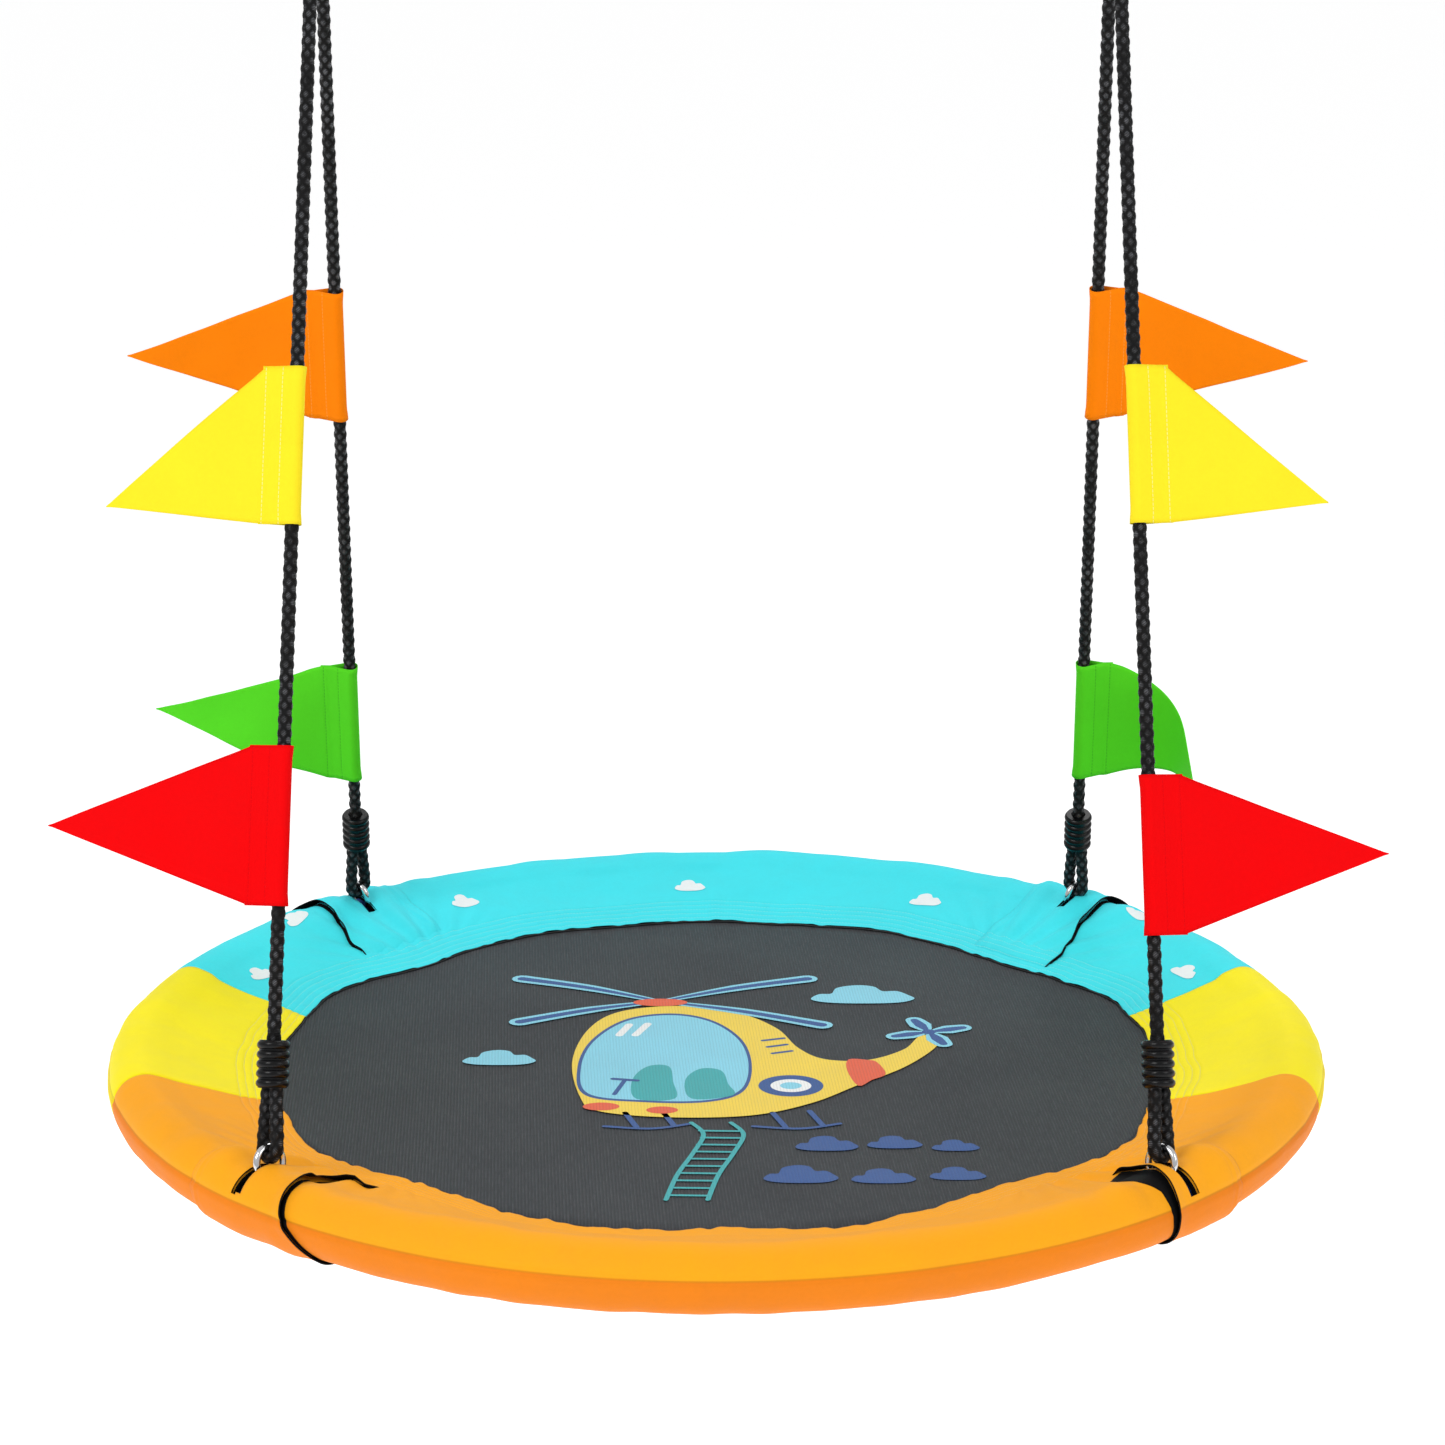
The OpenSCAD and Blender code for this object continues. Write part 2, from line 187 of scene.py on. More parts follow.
def ripple(u, v, seed):
    """Smooth field between -1 and 1 with one bump to each unit of u and v."""
    lattice = np.random.default_rng(seed).uniform(-1, 1, (256, 256))
    u, v = np.broadcast_arrays(np.asarray(u, float), np.asarray(v, float))
    i, j = np.floor(u).astype(int), np.floor(v).astype(int)
    a, b = u - i, v - j
    a, b = a * a * (3 - 2 * a), b * b * (3 - 2 * b)
    i0, i1, j0, j1 = i % 256, (i + 1) % 256, j % 256, (j + 1) % 256
    return ((lattice[i0, j0] * (1 - a) + lattice[i1, j0] * a) * (1 - b)
            + (lattice[i0, j1] * (1 - a) + lattice[i1, j1] * a) * b)


def bell(x, middle, width):
    return np.exp(-((x - middle) / width) ** 2)


def ramp(x, low, high):
    t = np.clip((x - low) / (high - low), 0, 1)
    return t * t * (3 - 2 * t)


def running(line):
    """Distance along a line at each of its points."""
    return np.concatenate([[0], np.cumsum(np.linalg.norm(np.diff(line, axis=0), axis=1))])


def between(a, b, c, d, t):
    """Point at t between b and c on the smooth curve through four points."""
    return 0.5 * (2 * b + (c - a) * t + (2 * a - 5 * b + 4 * c - d) * t ** 2
                  + (3 * b - a - 3 * c + d) * t ** 3)


def new_piece(name, points, faces, maps=None, materials=()):
    """Mesh object with smooth shading, and UV maps given as a value for each point."""
    mesh = bpy.data.meshes.new(name)
    mesh.from_pydata([tuple(p) for p in points], [], [tuple(f) for f in faces])
    mesh.update()
    corner = np.zeros(len(mesh.loops), np.int32)
    mesh.loops.foreach_get("vertex_index", corner)
    for title, values in (maps or {}).items():
        layer = mesh.uv_layers.new(name=title)
        layer.data.foreach_set("uv", np.asarray(values, np.float32)[corner].ravel())
    mesh.polygons.foreach_set("use_smooth", [True] * len(mesh.polygons))
    for material in materials:
        mesh.materials.append(material)
    piece = bpy.data.objects.new(name, mesh)
    bpy.context.scene.collection.objects.link(piece)
    return piece


def grid_faces(rows, columns, closed=False, hole=None):
    """Quads of a grid of points, rows by columns; closed joins its last column."""
    faces = []
    for i in range(rows - 1):
        for j in range(columns if closed else columns - 1):
            if hole is not None and hole[i, j]:
                continue
            k = (j + 1) % columns
            faces.append((i * columns + j, i * columns + k,
                          (i + 1) * columns + k, (i + 1) * columns + j))
    return faces


def grid_piece(name, points, maps, materials, hole=None, turned_over=False):
    """Mesh object of a grid of points; turned_over makes its faces look the other way."""
    rows, columns = points.shape[:2]
    faces = grid_faces(rows, columns, hole=hole)
    if turned_over:
        faces = [f[::-1] for f in faces]
    maps = {k: np.asarray(v).reshape(-1, 2) for k, v in maps.items()}
    flat = points.reshape(-1, 3)
    if hole is not None:
        used = np.unique(np.array(faces).ravel())
        place = -np.ones(len(flat), int)
        place[used] = np.arange(len(used))
        faces = [tuple(place[list(f)]) for f in faces]
        flat = flat[used]
        maps = {k: v[used] for k, v in maps.items()}
    return new_piece(name, flat, faces, maps, materials)


def thicken(piece, thickness, offset=-1.0, lining=0):
    body = piece.modifiers.new("Cloth thickness", "SOLIDIFY")
    body.thickness = thickness
    body.offset = offset
    body.material_offset = lining
    body.material_offset_rim = lining
    return piece


def spaced(points, step):
    """Points set evenly along a line, about one step apart."""
    points = np.asarray(points, float)
    run = running(points)
    at = np.linspace(0, run[-1], max(int(round(run[-1] / step)), 2) + 1)
    return np.stack([np.interp(at, run, points[:, k]) for k in range(3)], axis=1)


def smoothed(points, rounds):
    points = points.copy()
    for _ in range(rounds):
        points[1:-1] = (points[:-2] + 2 * points[1:-1] + points[2:]) / 4
    return points


def sweep(name, line, radius, sides, material, start, swell=None):
    """Closed tube along a line; swell(along, round) gives what is added to its radius."""
    line = np.asarray(line, float)
    count = len(line)
    heading = np.gradient(line, axis=0)
    heading /= np.linalg.norm(heading, axis=1)[:, None]
    across = unit(start - np.dot(start, heading[0]) * heading[0])
    run = running(line)
    turn = np.arange(sides) * 2 * math.pi / sides
    rings, where = [], []
    for i in range(count):
        across = unit(across - np.dot(across, heading[i]) * heading[i])
        other = np.cross(heading[i], across)
        r = radius + (swell(run[i], turn) if swell else 0 * turn)
        rings.append(line[i] + r[:, None] * (np.cos(turn)[:, None] * across
                                             + np.sin(turn)[:, None] * other))
        where.append(np.stack([np.full(sides, run[i]), turn / (2 * math.pi)], axis=1))
    points = np.concatenate(rings)
    faces = [tuple(reversed(f)) for f in grid_faces(count, sides, closed=True)]
    faces.append(tuple(range(sides)))
    faces.append(tuple((count - 1) * sides + k for k in reversed(range(sides))))
    faces = [tuple(reversed(f)) for f in faces]
    return new_piece(name, points, faces, {"flat": np.concatenate(where)}, [material])


def closed_curve(points, steps=10):
    """Smooth closed outline through points in a plane."""
    p = np.asarray(points, float)
    n = len(p)
    return np.array([between(*(p[(i + k) % n] for k in (-1, 0, 1, 2)), s / steps)
                     for i in range(n) for s in range(steps)])


# ---- shader tools ----

class Wires:
    """Short ways to add nodes to a material or a node group."""

    def __init__(self, tree):
        self.tree = tree
        self.nodes = tree.nodes

    def add(self, kind, inputs=(), **choices):
        node = self.nodes.new(kind)
        for key, value in choices.items():
            setattr(node, key, value)
        for key, value in dict(inputs).items():
            self.put(node.inputs[key], value)
        return node

    def put(self, socket, value):
        if isinstance(value, bpy.types.NodeSocket):
            self.tree.links.new(value, socket)
        elif socket.type == "RGBA" and len(value) == 3:
            socket.default_value = (*value, 1.0)
        else:
            socket.default_value = value

    def math(self, operation, *values):
        return self.add("ShaderNodeMath", dict(enumerate(values)),
                        operation=operation).outputs[0]

    def times(self, a, b):
        return self.math("MULTIPLY", a, b)

    def plus(self, a, b):
        return self.math("ADD", a, b)

    def minus(self, a, b):
        return self.math("SUBTRACT", a, b)

    def split(self, vector):
        return self.add("ShaderNodeSeparateXYZ", {0: vector}).outputs

    def noise(self, vector, scale, detail=3.0, roughness=0.5):
        return self.add("ShaderNodeTexNoise", {"Vector": vector, "Scale": scale,
                        "Detail": detail, "Roughness": roughness}).outputs[0]

    def mix(self, factor, a, b, blend="MIX"):
        return self.add("ShaderNodeMix", {0: factor, 6: a, 7: b}, data_type="RGBA",
                        blend_type=blend).outputs[2]

    def spread(self, value, low, high, to_low=0.0, to_high=1.0):
        return self.add("ShaderNodeMapRange", dict(enumerate(
            (value, low, high, to_low, to_high)))).outputs[0]

    def group(self, tree, **inputs):
        return self.add("ShaderNodeGroup", node_tree=tree,
                        inputs={k.replace("_", " "): v for k, v in inputs.items()}).outputs

    def wear(self, place, broad, fine, amount):
        return self.group(wear_group(), Place=place, Broad_scale=broad, Fine_scale=fine,
                          Amount=amount)

    def place(self, title="flat"):
        return self.add("ShaderNodeUVMap", uv_map=title).outputs[0]

    def object_place(self):
        return self.add("ShaderNodeTexCoord").outputs["Object"]

    def shaded(self, tint, *shades):
        """Base colour times each shade in turn."""
        for shade in shades:
            grey = self.add("ShaderNodeCombineColor", dict.fromkeys(range(3), shade))
            tint = self.mix(1.0, tint, grey.outputs[0], "MULTIPLY")
        return tint

    def finish(self, base, rough, height, depth, strength):
        """What a material links; rough is a socket, or wear and the roughness it spans."""
        if isinstance(rough, tuple):
            wear, low, high = rough
            rough = self.spread(wear["Field"], 0.3, 0.7, low, high)
        relief = self.add("ShaderNodeBump", {"Height": height, "Distance": depth,
                                             "Strength": strength})
        return {"Base Color": base, "Roughness": rough, "Normal": relief.outputs[0]}


def node_group(name, inputs, outputs, build):
    """Shader group made once; an input is a number, or None where it is a vector."""
    if name in bpy.data.node_groups:
        return bpy.data.node_groups[name]
    tree = bpy.data.node_groups.new(name, "ShaderNodeTree")
    for title, value in inputs.items():
        kind = "NodeSocketVector" if value is None else "NodeSocketFloat"
        socket = tree.interface.new_socket(title, in_out="INPUT", socket_type=kind)
        if value is not None:
            socket.default_value = value
    for title in outputs:
        tree.interface.new_socket(title, in_out="OUTPUT", socket_type="NodeSocketFloat")
    wires = Wires(tree)
    source = wires.nodes.new("NodeGroupInput").outputs
    sink = wires.nodes.new("NodeGroupOutput")
    for title, value in build(wires, source).items():
        wires.put(sink.inputs[title], value)
    return tree


def weave_group():
    """Plain weave: threads over and under, with the shade between them."""
    def build(w, given):
        x, y, _ = w.split(given["Place"])
        step = w.math("DIVIDE", 2 * math.pi, given["Thread pitch"])
        a = w.math("SINE", w.times(x, step))
        b = w.math("SINE", w.times(y, step))
        weave = w.times(a, b)
        slub = w.noise(given["Place"], given["Slub scale"], 2.0)
        height = w.plus(w.times(weave, 0.5), w.times(slub, 0.8))
        shade = w.spread(w.plus(weave, slub), -1.0, 1.6, 0.90, 1.05)
        return {"Height": height, "Shade": shade}
    return node_group("Plain weave", {"Place": None, "Thread pitch": 0.0009,
                                      "Slub scale": 300.0}, ("Height", "Shade"), build)


def stitch_group():
    """Rows of sewn thread: dashes along Run, repeated across at Row gap."""
    def build(w, given):
        across = w.minus(given["Across"], given["First row"])
        row = w.math("ROUND", w.math("DIVIDE", across, given["Row gap"]))
        near = w.math("ABSOLUTE", w.minus(across, w.times(row, given["Row gap"])))
        line = w.spread(near, given["Thread"], 0.0, 0.0, 1.0)
        within = w.times(w.math("GREATER_THAN", row, -0.5),
                        w.math("LESS_THAN", row, given["Last row"]))
        dash = w.math("SINE", w.times(given["Run"],
                      w.math("DIVIDE", 2 * math.pi, given["Stitch"])))
        dash = w.spread(dash, -0.75, -0.35)
        mask = w.times(w.times(line, dash), within)
        groove = w.times(w.spread(near, 0.0016, 0.0), within)
        height = w.minus(w.times(mask, 1.2), groove)
        return {"Thread mask": mask, "Height": height}
    return node_group("Sewn rows", {"Run": 0.0, "Across": 0.0, "First row": 0.006,
                                    "Row gap": 0.0068, "Last row": 4.5, "Stitch": 0.0036,
                                    "Thread": 0.0006}, ("Thread mask", "Height"), build)


def wear_group():
    """Slow change of shade over a surface, with faint marks of handling."""
    def build(w, given):
        broad = w.noise(given["Place"], given["Broad scale"], 3.0, 0.55)
        fine = w.noise(given["Place"], given["Fine scale"], 4.0, 0.6)
        both = w.plus(w.times(broad, 0.65), w.times(fine, 0.35))
        amount = given["Amount"]
        shade = w.plus(1.0, w.times(w.minus(both, 0.5), amount))
        marks = w.spread(fine, 0.58, 0.72)
        return {"Shade": shade, "Marks": marks, "Field": both}
    return node_group("Handling wear", {"Place": None, "Broad scale": 9.0,
                                        "Fine scale": 60.0, "Amount": 0.2},
                      ("Shade", "Marks", "Field"), build)


def material(name, build, **shader):
    """Principled material; build returns what is linked, shader holds plain values."""
    if name in bpy.data.materials:
        return bpy.data.materials[name]
    made = bpy.data.materials.new(name)
    made.use_nodes = True
    wires = Wires(made.node_tree)
    wires.nodes.clear()
    output = wires.nodes.new("ShaderNodeOutputMaterial")
    principled = wires.nodes.new("ShaderNodeBsdfPrincipled")
    made.node_tree.links.new(principled.outputs[0], output.inputs[0])
    for key, value in shader.items():
        wires.put(principled.inputs[key.replace("_", " ")], value)
    for key, value in build(wires).items():
        wires.put(principled.inputs[key], value)
    return made


def cover_material(name, tint, thread, painted_underside_shade):
    """Cover cloth with its hem rows, outer seam and painted shade below that seam: a darker
    colour for the underside.
    """
    sizes = settings()[0]

    def build(w):
        place, round_place = w.place(), w.place("round")
        u, v, _ = w.split(place)
        _, below, _ = w.split(round_place)
        weave = w.group(weave_group(), Place=place, Thread_pitch=0.0011)
        wear = w.wear(w.object_place(), 11.0, 75.0, 0.20)
        rows = w.group(stitch_group(), Run=u, Across=v, Row_gap=sizes.hem_row_gap)
        seam = w.spread(w.math("ABSOLUTE", below), 0.0013, 0.0)
        # below the outer seam the cloth turns to a darker colour: painted shade of the
        # underside that faces down
        under = w.spread(below, -0.001, 0.001)
        shade = w.minus(1.0, w.times(seam, 0.22))
        base = w.shaded(w.mix(under, tint, painted_underside_shade), wear["Shade"], weave["Shade"], shade)
        base = w.mix(w.times(rows["Thread mask"], 0.75), base, thread)
        crease = w.noise(w.object_place(), 42.0, 4.0, 0.6)
        height = w.plus(w.times(weave["Height"], 0.12), w.times(rows["Height"], 0.5))
        height = w.plus(height, w.times(crease, 0.9))
        return w.finish(base, (wear, 0.58, 0.76), height, 0.0009, 0.55)
    return material(name, build, Sheen_Weight=0.04, Sheen_Roughness=0.45,
                    Specular_IOR_Level=0.2)


def flag_material(name, tint, thread):
    sizes = settings()[0]

    def build(w):
        place = w.place()
        u, v, _ = w.split(place)
        weave = w.group(weave_group(), Place=place, Thread_pitch=0.0008)
        wear = w.wear(place, 16.0, 90.0, 0.12)
        rows = w.group(stitch_group(), Run=v, Across=u, First_row=sizes.flag_hem - 0.015,
                       Row_gap=0.0135, Last_row=1.5, Stitch=0.0034, Thread=0.0005)
        base = w.shaded(tint, wear["Shade"], weave["Shade"])
        base = w.mix(w.times(rows["Thread mask"], 0.6), base, thread)
        height = w.plus(w.times(weave["Height"], 0.15), w.times(rows["Height"], 0.6))
        height = w.plus(height, w.times(w.noise(place, 28.0, 3.0), 0.8))
        return w.finish(base, (wear, 0.62, 0.78), height, 0.0007, 0.5)
    return material(name, build, Specular_IOR_Level=0.05)


def mat_height(w, place, pitch):
    """Ribs of the mat's coarse weave and the crossing threads between them."""
    x, y, _ = w.split(place)
    lean = w.plus(x, w.times(y, 0.06))
    rib = w.math("SINE", w.times(lean, 2 * math.pi / pitch))
    cross = w.math("SINE", w.plus(w.times(y, 2 * math.pi / 0.0018), w.times(rib, 1.4)))
    return rib, cross


def mat_material(name, tint, glint):
    sizes = settings()[0]

    def build(w):
        place = w.place()
        rib, cross = mat_height(w, place, sizes.rib_pitch)
        wear = w.wear(place, 7.0, 240.0, 0.30)
        light = w.times(w.spread(rib, -0.2, 1.0), w.spread(cross, -0.4, 1.0))
        streak = w.noise(w.add("ShaderNodeMapping", {"Vector": place,
                         "Scale": (420.0, 60.0, 1.0)}).outputs[0], 1.0, 2.0)
        light = w.times(light, w.spread(streak, 0.3, 0.7))
        base = w.shaded(tint, wear["Shade"])
        base = w.mix(w.times(light, 0.65), base, glint)
        height = w.plus(w.times(rib, 0.5), w.times(cross, 0.35))
        return w.finish(base, (wear, 0.50, 0.68), height, 0.0004, 0.6)
    return material(name, build, Specular_IOR_Level=0.4)


def ink_material(name, tint):
    """Ink on the mat, with the mat's weave showing through it."""
    sizes, colours, _ = settings()

    def build(w):
        place = w.place()
        rib, cross = mat_height(w, place, sizes.rib_pitch)
        wear = w.wear(place, 18.0, 300.0, 0.22)
        gap = w.times(w.spread(rib, -0.3, -1.0), w.spread(cross, 0.0, -1.0))
        base = w.mix(w.times(gap, 0.45), w.shaded(tint, wear["Shade"]), tuple(colours.mat))
        height = w.plus(w.times(rib, 0.5), w.times(cross, 0.3))
        return w.finish(base, (wear, 0.45, 0.60), height, 0.0004, 0.5)
    return material(name, build, Specular_IOR_Level=0.4)


def cloth_ink_material(name, tint):
    def build(w):
        place = w.place()
        weave = w.group(weave_group(), Place=place, Thread_pitch=0.0011)
        wear = w.wear(place, 40.0, 200.0, 0.10)
        base = w.shaded(tint, weave["Shade"], wear["Shade"])
        return w.finish(base, (wear, 0.5, 0.62), weave["Height"], 0.0002, 0.5)
    return material(name, build, Specular_IOR_Level=0.35)


def rope_material(name, tint, glint):
    sizes = settings()[0]

    def build(w):
        place = w.place()
        run, turn, _ = w.split(place)
        around = w.times(turn, 2 * math.pi * STRANDS)
        along = w.times(run, 2 * math.pi / sizes.braid_pitch)
        first = w.math("COSINE", w.plus(around, along))
        second = w.math("COSINE", w.minus(around, along))
        crown = w.math("ABSOLUTE", w.times(first, second))
        over = w.math("GREATER_THAN", w.times(first, second), 0.0)
        lay = w.mix(over, (1.0, 0.0, 0.0), (-1.0, 0.0, 0.0))
        lean, _, _ = w.split(lay)
        fibre = w.math("SINE", w.plus(w.times(run, 5200.0), w.times(w.times(turn, 90.0), lean)))
        wear = w.wear(w.object_place(), 30.0, 420.0, 0.6)
        crest = w.spread(crown, 0.35, 0.85)
        light = w.times(w.times(crest, w.spread(fibre, -0.6, 0.6)),
                       w.spread(wear["Field"], 0.40, 0.60))
        base = w.mix(w.times(light, 0.85), w.shaded(tint, wear["Shade"]), glint)
        height = w.plus(w.times(fibre, 0.4), w.times(crown, 1.6))
        return w.finish(base, w.spread(crest, 0.0, 1.0, 0.62, 0.30), height, 0.0005, 0.8)
    return material(name, build, Specular_IOR_Level=0.22)


def plain_material(name, tint, second, scale, bump_depth, rough_low, rough_high,
                   metallic=0.0, amount=0.3, **shader):
    """Finish that wanders between two colours, for metals, foam and plastics."""
    def build(w):
        place = w.object_place()
        wear = w.wear(place, scale, scale * 9, amount)
        base = w.mix(w.times(wear["Marks"], 0.5), w.shaded(tint, wear["Shade"]), second)
        return w.finish(base, (wear, rough_low, rough_high), wear["Field"], bump_depth, 0.5)
    return material(name, build, Metallic=metallic, **shader)


def knurl_material(name, tint):
    """Steel with a crossed knurl, set by height and turn about the sleeve, with painted shade
    in the knurl's grooves.
    """
    def build(w):
        place = w.object_place()
        x, y, z = w.split(place)
        step = 2 * math.pi / 0.0012
        a = w.math("SINE", w.times(w.plus(z, w.plus(x, y)), step))
        b = w.math("SINE", w.times(w.minus(z, w.plus(x, y)), step))
        grid = w.times(a, b)
        wear = w.wear(place, 90.0, 700.0, 0.3)
        # colour darkens with the knurl's height field, lowest in the grooves: painted shade
        base = w.shaded(tint, wear["Shade"], w.spread(grid, -1.0, 1.0, 0.75, 1.0))
        return w.finish(base, (wear, 0.34, 0.5), grid, 0.0003, 0.8)
    return material(name, build, Metallic=1.0)


# ---- stage ----

def soft_light(name, place, aim, size, power):
    light = bpy.data.lights.new(name, "AREA")
    light.shape = "SQUARE"
    light.size = size
    light.energy = power
    lamp = bpy.data.objects.new(name, light)
    lamp.location = place
    lamp.rotation_euler = (Vector(aim) - Vector(place)).to_track_quat("-Z", "Y").to_euler()
    bpy.context.scene.collection.objects.link(lamp)


class SWING_OT_stage(bpy.types.Operator):
    """Add the camera, the pale floor and the soft studio light"""
    bl_idname = "swing.stage"
    bl_label = "Stage"

    def execute(self, context):
        stage = settings()[2]
        lens = bpy.data.cameras.new("Camera")
        lens.lens = stage.lens
        lens.sensor_width = 36.0
        lens.clip_start, lens.clip_end = 0.05, 400.0
        camera = bpy.data.objects.new("Camera", lens)
        camera.location = (0.0052, -stage.eye_back, stage.eye_drop)
        camera.rotation_euler = (math.pi / 2 - stage.tilt, 0.0, 0.0)
        context.scene.collection.objects.link(camera)
        context.scene.camera = camera

        def build(w):
            wear = w.wear(w.object_place(), 0.4, 3.0, 0.01)
            return {"Base Color": w.shaded((0.90, 0.90, 0.90), wear["Shade"])}
        half = stage.floor_size / 2
        floor = new_piece("floor", [(-half, -half, -stage.floor_drop),
                                    (half, -half, -stage.floor_drop),
                                    (half, half, -stage.floor_drop),
                                    (-half, half, -stage.floor_drop)],
                          [(0, 1, 2, 3)], None,
                          [material("Pale floor", build, Roughness=0.9,
                                    Emission_Color=(1.0, 1.0, 1.0),
                                    Emission_Strength=0.44)])

        world = bpy.data.worlds.new("Studio")
        world.use_nodes = True
        wires = Wires(world.node_tree)
        back = wires.nodes["Background"]
        _, _, z = wires.split(wires.add("ShaderNodeTexCoord").outputs["Generated"])
        sky = wires.mix(wires.spread(z, -0.1, 0.5), (0.80, 0.81, 0.83), (1.0, 1.0, 1.0))
        wires.put(back.inputs[0], sky)
        seen = wires.add("ShaderNodeLightPath").outputs["Is Camera Ray"]
        wires.put(back.inputs[1], wires.spread(seen, 0.0, 1.0, 0.62 * stage.light, 1.15))
        context.scene.world = world
        middle = (0.0, 0.0, -0.8)
        soft_light("Key light", (-2.2, -2.6, 2.4), middle, 2.0, 78 * stage.light)
        soft_light("Fill light", (2.8, -1.8, 1.2), middle, 2.0, 24 * stage.light)
        soft_light("Back light", (0.4, 3.0, 2.4), middle, 2.0, 34 * stage.light)
        context.scene.view_settings.view_transform = "Standard"
        return {"FINISHED"}


# ---- ropes ----

WIRE = {"seat": 0.0056, "top": 0.007}
EYE_R = {"seat": 0.012, "top": 0.0265}
ROPE_R = 0.005
TAIL = 0.044                     # of an eye, from the wire to the clamp
PLAY = 0.0008
STRANDS = 2                      # of the braid, each way round
STRAND = 0.0051                  # half the distance between an eye's two strands


def rope_axes(end, side, aim):
    """Foot of a rope, its out and across directions, its heading and its length."""
    foot = SEAT_RING[(end, side)]
    span = TOP_RING[side] - foot
    up = unit(span)
    out = unit(np.asarray(aim, float) - np.dot(aim, up) * up)
    return foot, out, np.cross(up, out), up, float(np.linalg.norm(span))


def eye_run(wire):
    """Run of a rope's end round a ring's wire: sideways and along the rope."""
    r = wire / 2 + PLAY + ROPE_R
    bend = [(r * math.cos(math.radians(a)), r * math.sin(math.radians(a)))
            for a in range(180, 361, 15)]
    return ([(-STRAND, TAIL + 0.011), (-STRAND, TAIL)] + bend
            + [(STRAND, TAIL), (STRAND, TAIL + 0.009), (0.0012, TAIL + 0.026),
               (0.0, TAIL + 0.034)])


def rope_route(end, side):
    """Middle line of one rope from its lower tail to its upper tail."""
    foot, out, across, up, long = rope_axes(end, side, (SIDES[side], ENDS[end], 0))
    _, high_out, _, _, _ = rope_axes(end, side, (0, 1, 0))
    high_across = np.cross(up, high_out)
    line = [foot + q * across + (EYE_R["seat"] + s) * up for q, s in eye_run(WIRE["seat"])]
    line += [foot + (long - EYE_R["top"] - s) * up + q * high_across
             for q, s in reversed(eye_run(WIRE["top"]))]
    return np.array(line), out


class SWING_OT_ropes(bpy.types.Operator):
    """Add the four braided ropes with an eye at each end"""
    bl_idname = "swing.ropes"
    bl_label = "Ropes"

    def execute(self, context):
        sizes, colours, _ = settings()
        black = rope_material("Braided rope", tuple(colours.rope), (0.20, 0.205, 0.225))

        def braid(run, turn):
            a = STRANDS * turn + 2 * math.pi * run / sizes.braid_pitch
            b = STRANDS * turn - 2 * math.pi * run / sizes.braid_pitch
            over = np.cos(a) * np.cos(b)
            return sizes.braid_depth * (np.sqrt(np.abs(over)) * 1.1 - 0.55)

        for end, side in CORNERS:
            corners, out = rope_route(end, side)
            line = smoothed(spaced(corners, 0.0014), 6)
            piece = sweep(f"rope_braid_{end}_{side}", line, sizes.rope_radius, 28, black,
                          out, braid)
            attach(piece, f"{side}_ropes")
            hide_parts(f"rope_{end}_{side}")
        return {"FINISHED"}


# ---- covers ----

LIP = 1.9 * MM                   # of the cover's cloth above the middle of the mat
SEAM = math.radians(16)         # outer seam, as an angle round the rim's roll
HANG = {"back": {"right": 45, "left": 135}, "front": {"left": 225, "right": 315}}
SLOT_HALF = 5.5 * MM
SLOT_FROM, SLOT_TO = 455 * MM, 508 * MM


def turned(th, degrees):
    """Difference of an angle from a heading in degrees, within half a turn."""
    d = np.degrees(th) - degrees
    return (d + 180) % 360 - 180


def edge_radius(th):
    """Wavy edge of the cover on the mat: pulled in near the ropes, out beside them."""
    run = th * RIM_R
    r = EDGE_R + 0.0045 * ripple(run / 0.085, 0.5, 71) + 0.0016 * ripple(run / 0.03, 4, 72)
    for dip in (43, 137, 234, 306):
        away = turned(th, dip)
        r = r - 0.011 * bell(away, 0, 8) + 0.008 * bell(np.abs(away), 20, 8)
    return r


